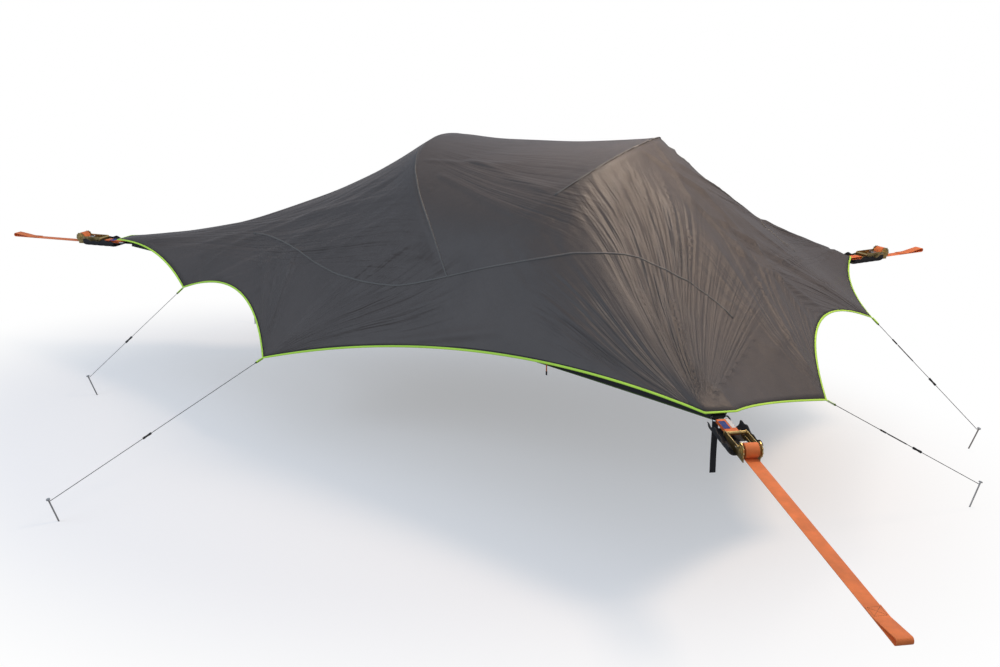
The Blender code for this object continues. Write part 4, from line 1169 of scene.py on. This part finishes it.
def makeFloor(values):
    edge, back, margin = [
        np.array([tuple(p) for p in floorEdge(inset, values["sideSteps"], values["baseSteps"])])
        for inset in (0.0, values["thickness"], values["margin"])]
    middle = margin.mean(axis=0)
    sheet, deep = np.array([0, 0, values["thickness"]]), np.array([0, 0, values["depth"]])
    upper = []
    for share in np.linspace(values["firstRing"], 1.0, values["rings"]):
        ring = middle + (margin - middle) * share
        ring[:, 2] -= values["sag"] * (1 - share**2)
        upper.append(ring)
    lower = [ring - sheet for ring in reversed(upper)]
    half = (edge + margin) / 2
    rows = [*upper, half, edge, edge - deep / 2, edge - deep]
    rows += [back - deep, back - deep / 2, back - sheet, half - sheet, *lower]
    count = len(edge)
    points = list(toWorld(np.concatenate(rows)))
    faces = ringFaces(range(0, len(rows) * count, count), count)
    low = middle - np.array([0, 0, values["sag"]])
    points += list(toWorld(np.array([low, low - sheet])))
    last = (len(rows) - 1) * count
    for i in range(count):
        there = (i + 1) % count
        faces += [[i, there, len(points) - 2], [last + i, last + there, len(points) - 1]]
    uvs = [(p[0], p[1] + p[2]) for p in points]
    made = outwards(meshObject("floor_cloth", points, faces, uvs))
    made.data.set_sharp_from_angle(angle=radians(40))
    return made


floorCloth = makeFloor(floorValues)
finish(floorCloth, "floorCloth", "tent", "floor_cloth", "floor")
print("floor area, one side:", round(areaOf(floorCloth), 3))


def edgePiping(name, drop, beyond, height):  # piping sewn along the floor's edge band
    line = [p + tentPlace - up * drop for p in floorEdge(-beyond, *floorValues["pipingSteps"])[1:]]
    middle = tentPlace + Vector((plan["length"] * 2 / 3, 0.0, 0.0))
    normals = []
    for k, here in enumerate(line):
        tangent = (line[(k + 1) % len(line)] - line[k - 1]).normalized()
        away = tangent.cross(up).normalized()
        normals.append(away if away.dot(here - middle) > 0 else -away)
    made = ribbon(name, line, normals, floorValues["pipingWidth"], height, True)
    return finish(made, "oliveTape", "tent", "floor_cloth")


for key, values in floorValues["piping"].items():
    edgePiping("floor_piping_" + key, *values)
print("floor made")


# Corner rigging, in each corner's own frame: u along the pull, w across it, n upwards

rig = {
    "webThickness": 0.0025,
    "seat": 0.0004,
    "ringRadius": 0.003,
    "ringInner": -0.020,
    "ringOuter": 0.020,
    "boltStation": 0.135,
    "boltRadius": 0.004,
    "spoolStation": 0.315,
    "spoolHeight": 0.015,
    "coreRadius": 0.0135,
    "windGap": 0.0006,
    "turns": 4,
    "turnSteps": 28,
    "eyeRadius": 0.010,
    "eyeLength": 0.120,
    "eyeLap": 0.060,
    "bendSteps": 14,
}
startRadius = (rig["coreRadius"] + rig["seat"] + rig["webThickness"] / 2) / cos(pi / 14)
pitch = rig["webThickness"] + rig["windGap"]
strapLine = rig["spoolHeight"] - startRadius - pitch * rig["turns"]

corners = {
    "foot": {"at": Vector(), "turn": 180.0, "reach": 0.860, "half": footHalfAngle},
    "near": {"at": nearCorner, "turn": nearTurnDeg, "reach": 1.450, "half": nearHalfAngle},
    "far": {"at": mirror @ nearCorner, "turn": -nearTurnDeg, "reach": 0.650, "half": nearHalfAngle},
}


def rigFrame(corner):
    turn = Matrix.Rotation(radians(corner["turn"]), 4, "Z")
    turn = turn @ Matrix.Rotation(radians(plan["strapSlope"]), 4, "Y")
    return Matrix.Translation(tentPlace + corner["at"] - up * plan["strapDrop"]) @ turn


def arc(centre, radius, firstDeg, lastDeg, steps):
    return [(centre[0] + radius * cos(radians(a)), centre[1] + radius * sin(radians(a)))
            for a in spaced(firstDeg, lastDeg, steps)]


webEdge = {"soft": 0.0011, "tip": 0.0003, "tipShare": 0.72, "sharpDeg": 50}


def webSection(wide, thick):  # a flat band with soft edges, as points across it
    soft, tip, low = wide - webEdge["soft"], wide - webEdge["tip"], thick * webEdge["tipShare"]
    edge = [(soft, thick), (tip, low), (wide, 0.0), (tip, -low), (soft, -thick)]
    other = [(-w, n) for w, n in reversed(edge)]
    return [other[-1], (0.0, thick), *edge, (0.0, -thick), *other[:-1]]


def webbing(name, path, place, halfWidth=webHalf, thickness=rig["webThickness"], closed=False):
    # flat webbing along a path of (u, n) points
    line = np.array(path, float)
    if closed:
        afterwards, before = np.roll(line, -1, axis=0), np.roll(line, 1, axis=0)
    else:
        afterwards, before = np.vstack([line[1:], line[-1:]]), np.vstack([line[:1], line[:-1]])
    first, second = line - before, afterwards - line
    first[0] = first[0] if closed else second[0]
    second[-1] = second[-1] if closed else first[-1]
    first /= np.linalg.norm(first, axis=1)[:, None]
    second /= np.linalg.norm(second, axis=1)[:, None]
    bisector = first + second
    bisector /= np.linalg.norm(bisector, axis=1)[:, None]
    across = np.stack([-bisector[:, 1], bisector[:, 0]], axis=1)
    mitre = (bisector * second).sum(axis=1)
    section = webSection(halfWidth, thickness / 2)
    points, uvs, length = [], [], 0.0
    for k, (u, n) in enumerate(line):
        length += float(np.linalg.norm(line[k] - line[k - 1])) if k else 0.0
        for w, t in section:
            du, dn = across[k] * t / mitre[k]
            points.append(place @ Vector((u + du, w, n + dn)))
            uvs.append((length, w))
    made = outwards(meshObject(name, points, bandFaces(len(line), len(section), closed), uvs))
    made.data.set_sharp_from_angle(angle=radians(webEdge["sharpDeg"]))
    return made


def startPiece(add, name, **values):  # a primitive at the origin, in edit mode and selected all over
    bpy.ops.object.select_all(action="DESELECT")
    add(location=(0, 0, 0), **values)
    made = bpy.context.active_object
    made.name = name
    bpy.ops.object.mode_set(mode="EDIT")
    bpy.ops.mesh.select_all(action="SELECT")
    return made


def placed(made, place):  # back from edit mode, with the place in the mesh
    bpy.ops.object.mode_set(mode="OBJECT")
    made.data.transform(place)
    made.data.shade_smooth()
    return made


stitchValues = {
    "radius": 0.00045,
    "length": 0.0032,
    "spacing": 0.0045,
    "edge": 0.00018,
    "strapHalf": (0.022, 0.019),
    "tetherHalf": (0.014, 0.019),
    "tetherStation": 0.055,
    "corners": ((-1, -1), (1, -1), (1, 1), (-1, 1), (-1, -1), (1, 1)),
}


def boxStitches(name, place, centre, half, values):  # a crossed box of raised stitches
    seed = startPiece(bpy.ops.mesh.primitive_cylinder_add, "stitch", vertices=6,
                      radius=values["radius"], depth=values["length"])
    bpy.ops.mesh.bevel(offset=values["edge"], segments=1)
    bpy.ops.object.mode_set(mode="OBJECT")
    stitch = seed.data.copy()
    stitch.transform(Matrix.Rotation(pi / 2, 4, "Y"))
    bpy.data.objects.remove(seed)
    spots = [Vector((x * half[0], y * half[1], 0.0)) for x, y in values["corners"]]
    joined = bmesh.new()
    # The last row crosses the one before it
    for a, b in [*zip(spots, spots[1:]), (spots[3], spots[1])]:
        count = max(int((b - a).length / values["spacing"]), 1)
        turn = Matrix.Rotation(atan2((b - a).y, (b - a).x), 4, "Z")
        for k in range(count):
            spot = Vector(centre) + a.lerp(b, (k + 0.5) / count)
            copy = stitch.copy()
            copy.transform(place @ Matrix.Translation(spot) @ turn)
            joined.from_mesh(copy)
            bpy.data.meshes.remove(copy)
    data = bpy.data.meshes.new(name)
    joined.to_mesh(data)
    joined.free()
    made = bpy.data.objects.new(name, data)
    bpy.context.scene.collection.objects.link(made)
    return finish(made, "darkTape", "tent", "orange_webbing")


padValues = {
    "half": 0.060,
    "rise": 0.046,
    "thickness": 0.003,
    "start": 0.036,
    "end": 0.270,
    "drop": 0.037,
    "steps": 48,
    "channels": 5,
    "spacing": 0.006,
    "seamShare": 0.45,
    "rimShare": 0.55,
    "liningShare": 0.02,
    "slumpShares": (0.34, 0.12, 0.08),
    "slumpRates": (41.0, 9.0, 97.0),
    "lean": 0.12,
    "edgeShare": 0.3,
    "edgeSteps": 40,
    "edgeWidth": 0.004,
    "edgeHeight": 0.0012,
}
padFloor = rig["spoolHeight"] - padValues["drop"] - rig["seat"]


def padSlump(values, u, w):  # how far the pad's upper edge sags there
    level, slow, fast = values["slumpShares"]
    along, across, ripple = values["slumpRates"]
    return values["rise"] * (level + slow * sin(u * along + w * across) + fast * sin(u * ripple))


def padShell(name, place, values):  # a quilted trough round the ratchet
    radius = values["half"] / 3
    inner = [(values["half"], padFloor + values["rise"])]
    inner += arc((values["half"] - radius, padFloor + radius), radius, 0.0, -90.0, 8)
    inner += [(-w, n) for w, n in reversed(inner)]
    line = np.array(evenly(inner, values["spacing"]))
    tangent = np.gradient(line, axis=0)
    tangent /= np.linalg.norm(tangent, axis=1)[:, None]
    outward = np.stack([-tangent[:, 1], tangent[:, 0]], axis=1)
    flip = np.sign(((line - np.array([0.0, padFloor + values["rise"] / 2])) * outward).sum(axis=1))
    outward *= np.where(flip == 0, 1, flip)[:, None]
    steps, count = values["steps"], len(line)
    seam, rim = values["seamShare"], values["rimShare"]
    points, uvs = [], []
    for side in (0, 1):
        for k in range(steps + 1):
            u = values["start"] + (values["end"] - values["start"]) * k / steps
            channel = abs(sin(pi * values["channels"] * k / steps)) ** 0.5
            for i in range(count):
                edge = min(i, count - 1 - i, k, steps - k)
                plump = (seam + (1 - seam) * channel) * (rim + (1 - rim) * min(edge / 2, 1.0))
                plump = plump if side else values["liningShare"]
                spot = line[i] + outward[i] * values["thickness"] * plump
                high = max((spot[1] - padFloor) / values["rise"], 0.0)
                slump = high * high * padSlump(values, u, line[i][0])
                lean = outward[i][0] * slump * values["lean"]
                points.append(place @ Vector((u, spot[0] + lean, spot[1] - slump)))
                uvs.append((u, i * values["spacing"]))
    size = (steps + 1) * count
    faces = []
    for k in range(steps):
        for i in range(count - 1):
            q = [k * count + i, k * count + i + 1, (k + 1) * count + i + 1, (k + 1) * count + i]
            faces += [q, [v + size for v in q[::-1]]]
    border = [(k * count + i, (k + 1) * count + i) for k in range(steps) for i in (0, count - 1)]
    border += [(k * count + i, k * count + i + 1) for k in (0, steps) for i in range(count - 1)]
    faces += [[a, b, b + size, a + size] for a, b in border]
    return outwards(meshObject(name, points, faces, uvs))


def padBinding(name, sign, place, values):  # the tape along one upper edge of the pad
    middle = values["half"] + values["thickness"] * values["edgeShare"]
    line = []
    for u in spaced(values["start"], values["end"], values["edgeSteps"]):
        slump = padSlump(values, u, sign * values["half"])
        spot = (u, sign * (middle + slump * values["lean"]), padFloor + values["rise"] - slump)
        line.append(place @ Vector(spot))
    normals = [place.to_3x3() @ up] * len(line)
    made = ribbon(name, line, normals, values["edgeWidth"], values["edgeHeight"])
    return finish(made, "darkTape", "tent", "black_webbing")


def cornerLoop(name, corner, place):  # sewn into the floor's corner, round the ring
    bend = rig["ringRadius"] + rig["seat"] + rig["webThickness"] / 2
    start = rig["seat"] - cornerBack(0.0, corner["half"])
    turn = arc((rig["ringInner"], 0.0), bend, -90.0, 90.0, rig["bendSteps"])
    path = [(start, -bend), *turn, (start, bend)]
    made = webbing("corner_web_" + name, path, place)
    finish(made, "blackWebbing", "tent", "black_webbing", "corner_webbing_" + name)


def tetherSling(name, place):  # a closed sling round the ring and the ratchet's bolt
    outer = rig["seat"] + rig["webThickness"] / 2 + rig["boltRadius"]
    inner = rig["seat"] + rig["webThickness"] / 2 + rig["ringRadius"]
    path = arc((rig["boltStation"], 0.0), outer, -90.0, 90.0, rig["bendSteps"])
    path += arc((rig["ringOuter"], 0.0), inner, 90.0, 270.0, rig["bendSteps"])
    made = webbing("tether_sling_" + name, evenly(path + [path[0]], spacing=0.01)[:-1], place, closed=True)
    finish(made, "orangeWebbing", "tent", "orange_webbing", "tether_" + name)
    centre = (stitchValues["tetherStation"], 0.0, inner + rig["webThickness"] / 2)
    boxStitches("tether_stitches_" + name, place, centre, stitchValues["tetherHalf"], stitchValues)


def treeStrap(name, corner, place):  # wound on the spool, out to the sewn eye and back
    path = []
    for k in range(rig["turns"] * rig["turnSteps"] + 1):
        radius = startRadius + pitch * k / rig["turnSteps"]
        turn = 2 * pi * k / rig["turnSteps"] - pi / 2
        path.append((rig["spoolStation"] + radius * cos(turn), rig["spoolHeight"] + radius * sin(turn)))
    path += evenly([path[-1], (corner["reach"], strapLine)], spacing=0.03)[1:-1]
    eye = (corner["reach"], strapLine + rig["eyeRadius"])
    path += arc(eye, rig["eyeRadius"], -90.0, 90.0, rig["bendSteps"])
    lapStart, lapHeight = corner["reach"] - rig["eyeLength"], strapLine + rig["webThickness"] + rig["seat"]
    lap = [(lapStart, lapHeight), (lapStart - rig["eyeLap"], lapHeight)]
    path += evenly([path[-1]] + lap, spacing=0.02)[1:]
    made = webbing("tree_strap_web_" + name, path, place)
    finish(made, "strapWebbing", "tent", "orange_webbing", "tree_strap_" + name)
    centre = (lapStart - rig["eyeLap"] / 2, 0.0, lapHeight + rig["webThickness"] / 2)
    boxStitches("strap_stitches_" + name, place, centre, stitchValues["strapHalf"], stitchValues)


def cornerPieces(name, corner):
    place = rigFrame(corner)
    cornerLoop(name, corner, place)
    tetherSling(name, place)
    treeStrap(name, corner, place)
    pad = padShell("pad_trough_" + name, place, padValues)
    finish(pad, "padCloth", "tent", "black_webbing", "ratchet_pad_" + name)
    padBinding("pad_edge_" + name + "_left", 1, place, padValues)
    padBinding("pad_edge_" + name + "_right", -1, place, padValues)
    return place


places = {name: cornerPieces(name, corner) for name, corner in corners.items()}
print("corner rigging made")

patchValues = {  # by label: its corner, first and last station, middle across, half width and tape
    "blue": ("near", 0.040, 0.108, -0.0115, 0.0125, "blueTape"),
    "white": ("near", 0.026, 0.104, 0.0155, 0.0075, "whiteTape"),
    "blue_foot": ("foot", 0.060, 0.100, 0.0, 0.0245, "blueTape"),
}
patchThickness = 0.0008
patchHeight = rig["seat"] + rig["webThickness"] + rig["boltRadius"] + 0.0005


def tetherPatch(label, corner, first, last, middle, halfWide, key):  # a bare woven patch on the tether
    path = [(u, patchHeight) for u in spaced(first, last, 8)]
    place = places[corner] @ Matrix.Translation((0.0, middle, 0.0))
    made = webbing("tether_patch_" + label, path, place, halfWide, patchThickness)
    return finish(made, key, "tent", "orange_webbing")


for label, values in patchValues.items():
    tetherPatch(label, *values)

tailValues = {
    "place": (-0.028, -0.010, -0.0064),
    "tiltDeg": -2.0,
    "length": 0.225,
    "inset": 0.0003,
    "halfWidth": 0.0123,
    "thickness": 0.0016,
    "curl": 0.0016,
    "curlRate": 34.0,
}
hanging = Matrix(((0, 0, 1, 0), (0, 1, 0, 0), (-1, 0, 0, 0), (0, 0, 0, 1)))


def hangingTail(values):  # the loose tail, rolled a little at its end
    place = places["near"] @ Matrix.Translation(values["place"])
    place = place @ Matrix.Rotation(radians(values["tiltDeg"]), 4, "Y")
    curl, length, inset = values["curl"], values["length"], values["inset"]
    path = [(u, curl * sin(u * values["curlRate"]) * u / length)
            for u in spaced(inset, length - inset, 30)]
    made = webbing("corner_tail_web", path, place @ hanging, values["halfWidth"], values["thickness"])
    return finish(made, "blackWebbing", "tail", "black_webbing", "corner_tail")


hangingTail(tailValues)

toggleValues = {
    "along": (0.93416, -0.35687),
    "length": 0.044,
    "halfWidth": 0.0032,
    "thickness": 0.0022,
    "endSize": (0.0078, 0.0029, 0.018),
    "endDrop": 0.051,
    "endBevel": 0.0006,
}
tabTurn = Matrix(((0, 1, 0, 0), (0, 0, 1, 0), (-1, 0, 0, 0), (0, 0, 0, 1)))


def toggleTab(side, sign, values):  # a flat cord tab with a moulded end
    low, high = [Vector(corner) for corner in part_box("door_toggle_" + side)]
    x, y = values["along"]
    axes = (Vector((x, y * sign, 0.0)), Vector((y, -x * sign, 0.0)), up)
    place = Matrix(axes).transposed().to_4x4()
    place.translation = ((low.x + high.x) / 2, (low.y + high.y) / 2, high.z)
    path = [(u, 0.0) for u in spaced(0.0, values["length"], 14)]
    tab = webbing("toggle_" + side + "_tape", path, place @ tabTurn,
                  values["halfWidth"], values["thickness"])
    finish(tab, "orangeWebbing", side + "_toggle", "orange_webbing", "door_toggle_" + side)
    end = startPiece(bpy.ops.mesh.primitive_cube_add, "toggle_" + side + "_end", size=1.0)
    bpy.ops.transform.resize(value=values["endSize"])
    bpy.ops.mesh.subdivide(number_cuts=2)
    bpy.ops.mesh.bevel(offset=values["endBevel"], segments=2)
    placed(end, place @ Matrix.Translation((0.0, 0.0, -values["endDrop"])))
    return finish(end, "blackPlastic", side + "_toggle", "black_plastic")


toggleTab("near", 1, toggleValues)
toggleTab("far", -1, toggleValues)

# The guy lines

guyValues = {
    "diameter": 0.003,
    "points": 24,
    "loopLength": 0.036,
    "loopBack": 0.002,
    "loopRadius": 0.0032,
    "tapeHalf": 0.005,
    "tapeThickness": 0.0011,
    "knotGap": 0.004,
    "knotRadius": 0.0032,
    "knotCord": 0.0016,
    "knotTurn": 0.9,
    "knotStretch": 1.25,
    "clipStart": {"head_near": 0.31, "head_far": 0.16},
    "slideFrom": 0.2,
    "bevelShare": 0.3,
}
lineParts = {  # radius, length, distance from the clip, finish and slot
    "line_clip_": (0.0036, 0.034, 0.0, "blackPlastic", "black_plastic"),
    "line_sleeve_": (0.0026, 0.110, 0.078, "darkCord", "guy_cord"),
}
guyLines = {  # first and last point of each line in the tent's frame
    "foot_near": ((0.69503, -0.34518, -0.13976), (0.3492, -0.76096, -0.58177)),
    "side_near": ((1.55682, -0.82734, -0.28442), (1.30979, -2.04101, -0.58384)),
    "head_near": ((4.27896, -0.65135, -0.14043), (4.89099, -0.2193, -0.58258)),
    "head_far": ((4.27926, 0.65207, -0.14081), (4.84116, 0.44958, -0.58204)),
}
for label in ("side", "foot"):
    guyLines[label + "_far"] = [(x, -y, z) for x, y, z in guyLines[label + "_near"]]


def guyLine(name, first, last):
    first, last = Vector(first) + tentPlace, Vector(last) + tentPlace
    curve = bpy.data.curves.new("cord_" + name, "CURVE")
    curve.dimensions = "3D"
    curve.bevel_depth = guyValues["diameter"] / 2
    curve.bevel_resolution = 3
    curve.use_fill_caps = True
    spline = curve.splines.new("POLY")
    spline.points.add(guyValues["points"])
    for k, spot in enumerate(spline.points):
        spot.co = (*first.lerp(last, k / guyValues["points"]), 1.0)
    cord = bpy.data.objects.new("cord_" + name, curve)
    bpy.context.scene.collection.objects.link(cord)
    cord.data.materials.append(finishes["greyCord" if name.startswith("foot") else "darkCord"])
    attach(cord, "tent")
    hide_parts("guy_line_" + name)
    extras = lineFittings(name, first, (last - first).normalized(), guyValues)


def onLine(place, distance):  # a place further along the line, with its z axis along it
    return place @ Matrix.Translation((distance, 0, 0)) @ Matrix.Rotation(pi / 2, 4, "Y")


def tightKnot(name, place, values):  # two crossed turns of cord
    knot = startPiece(bpy.ops.mesh.primitive_torus_add, name, major_radius=values["knotRadius"],
                      minor_radius=values["knotCord"], major_segments=20, minor_segments=8)
    bpy.ops.mesh.duplicate()
    bpy.ops.transform.rotate(value=values["knotTurn"], orient_axis="X", center_override=(0, 0, 0))
    bpy.ops.mesh.select_all(action="SELECT")
    bpy.ops.transform.resize(value=(1.0, 1.0, values["knotStretch"]))
    return finish(placed(knot, place), "darkCord", "tent", "guy_cord")


def lineFittings(name, first, heading, values):  # the sewn loop at the hem, and what is on the line
    place = Matrix.Translation(first) @ heading.to_track_quat("X", "Z").to_matrix().to_4x4()
    length, radius = values["loopLength"], values["loopRadius"]
    path = arc((length, 0.0), radius, -90.0, 90.0, 10)
    path += arc((-values["loopBack"], 0.0), radius, 90.0, 270.0, 10)
    path = evenly(path + [path[0]], spacing=0.006)[:-1]
    loop = webbing("guy_loop_" + name, path, place, values["tapeHalf"], values["tapeThickness"], True)
    finish(loop, "limeTape", "tent", "lime_tape")
    made = [tightKnot("guy_knot_" + name, onLine(place, length + values["knotGap"]), values)]
    start = values["clipStart"].get(name)
    if start is None:
        return made
    # On a long line both parts slide along with the adjuster, which reaches them
    body = name + "_adjuster" if start > values["slideFrom"] else "tent"
    for label, (radius, length, shift, key, slot) in lineParts.items():
        piece = startPiece(bpy.ops.mesh.primitive_cylinder_add, label + name, vertices=20,
                           radius=radius, depth=length)
        bpy.ops.mesh.bevel(offset=radius * values["bevelShare"], segments=2)
        made.append(finish(placed(piece, onLine(place, start + shift)), key, body, slot))
    return made


for name, (first, last) in guyLines.items():
    guyLine(name, first, last)
print("guy lines made")

# Pieces shown as the CAD model has them

carried = {
    "poleAlloy": ("foot_hoop_pole", "head_hoop_pole"),
    "blackPlastic": tuple(n for n in nodes if "cup" in n or "adjuster" in n),
    "goldZinc": tuple(n for n in nodes
                      if n.startswith(("ratchet_frame", "ratchet_spool", "ratchet_handle"))),
    "zincSteel": tuple(n for n in nodes if n.startswith(("corner_ring", "release_slide", "peg_"))),
}
for key, names in carried.items():
    for name in names:
        for place in nodes[name].material_slots:
            place.material = finishes[key]

# The ground, the world and the lamps

stage = {
    "width": 300.0,
    "drop": 0.09,
    "middle": (2.95, -0.6),
    "reach": 3.4,
    "narrowing": 1.35,
    "fade": (0.55, 1.0),
    "roughness": 0.9,
    "lit": (0.97, 0.985, 1.0),
    "bounce": (0.30, 0.30, 0.31),
    "glowNear": 0.36,
}


def makeStage(values):  # pale ground that turns plain white away from the tent
    bpy.ops.object.select_all(action="DESELECT")
    x, y = values["middle"]
    level = tentPlace.z - plan["ground"] - values["drop"]
    bpy.ops.mesh.primitive_plane_add(size=values["width"], location=(x, y, level))
    ground = bpy.context.active_object
    ground.name = "ground"
    made, tree, shader = newMaterial("ground_paper", values["lit"], values["roughness"])
    path = tree.nodes.new("ShaderNodeLightPath")
    paper = addNode(tree, "ShaderNodeMix")
    paper.data_type = "RGBA"
    tree.links.new(path.outputs["Is Camera Ray"], paper.inputs["Factor"])
    paper.inputs[6].default_value = (*values["bounce"], 1.0)
    paper.inputs[7].default_value = (*values["lit"], 1.0)
    tree.links.new(paper.outputs[2], shader.inputs["Base Color"])
    glow = addNode(tree, "ShaderNodeEmission", Strength=1.0)
    glow.inputs["Color"].default_value = (1.0, 1.0, 1.0, 1.0)
    scale = (1.0 / values["reach"], values["narrowing"] / values["reach"], 0.0)
    body = coordinates(tree, "Object", scale)
    away = addNode(tree, "ShaderNodeVectorMath", operation="LENGTH")
    tree.links.new(body, away.inputs[0])
    fade = addNode(tree, "ShaderNodeMapRange")
    fade.interpolation_type = "SMOOTHSTEP"
    fade.inputs["From Min"].default_value = values["fade"][0]
    fade.inputs["From Max"].default_value = values["fade"][1]
    fade.inputs["To Min"].default_value = values["glowNear"]
    tree.links.new(away.outputs["Value"], fade.inputs["Value"])
    share = summed(tree, fade.outputs["Result"], path.outputs["Is Camera Ray"], "MULTIPLY")
    mix = tree.nodes.new("ShaderNodeMixShader")
    tree.links.new(share, mix.inputs["Fac"])
    tree.links.new(shader.outputs["BSDF"], mix.inputs[1])
    tree.links.new(glow.outputs["Emission"], mix.inputs[2])
    output = tree.nodes["Material Output"]
    tree.links.new(mix.outputs["Shader"], output.inputs["Surface"])
    ground.data.materials.append(made)


sky = {"strength": 0.50, "light": (0.76, 0.85, 1.0), "seen": (1.0, 1.0, 1.0)}


def makeWorld(values):
    world = bpy.data.worlds.new("studio")
    world.use_nodes = True
    bpy.context.scene.world = world
    tree = world.node_tree
    background = tree.nodes["Background"]
    background.inputs["Color"].default_value = (*values["light"], 1.0)
    background.inputs["Strength"].default_value = values["strength"]
    plain = addNode(tree, "ShaderNodeBackground", Strength=1.0)
    plain.inputs["Color"].default_value = (*values["seen"], 1.0)
    path = tree.nodes.new("ShaderNodeLightPath")
    mix = tree.nodes.new("ShaderNodeMixShader")
    tree.links.new(path.outputs["Is Camera Ray"], mix.inputs["Fac"])
    tree.links.new(background.outputs["Background"], mix.inputs[1])
    tree.links.new(plain.outputs["Background"], mix.inputs[2])
    tree.links.new(mix.outputs["Shader"], tree.nodes["World Output"].inputs["Surface"])


def areaLamp(name, place, target, size, power, colour):
    data = bpy.data.lights.new(name, "AREA")
    data.shape = "SQUARE"
    data.size = size
    data.energy = power
    data.color = colour
    lamp = bpy.data.objects.new(name, data)
    bpy.context.scene.collection.objects.link(lamp)
    spot = tentPlace + Vector(place)
    turn = (tentPlace + Vector(target) - spot).to_track_quat("-Z", "Y").to_matrix().to_4x4()
    lamp.matrix_world = Matrix.Translation(spot) @ turn


lamps = {  # place, what it is aimed at, size, power and colour
    "key": ((5.9, 1.5, 5.3), (3.3, 0.0, 0.3), 1.6, 195.0, (1.0, 0.74, 0.53)),
    "fill": ((-1.5, -5.5, 3.5), (2.4, -0.4, 0.0), 4.0, 150.0, (0.76, 0.86, 1.0)),
    "apex": ((3.45, 0.1, 1.60), (3.25, -0.05, 0.75), 0.5, 8.0, (1.0, 0.84, 0.70)),
    "front": ((7.2, -4.6, 1.6), (4.2, -1.4, 0.0), 1.0, 8.0, (1.0, 0.92, 0.84)),
}
makeStage(stage)
makeWorld(sky)
for name, values in lamps.items():
    areaLamp(name, *values)
bpy.context.scene.view_settings.view_transform = "Standard"
print("stage and lamps made")
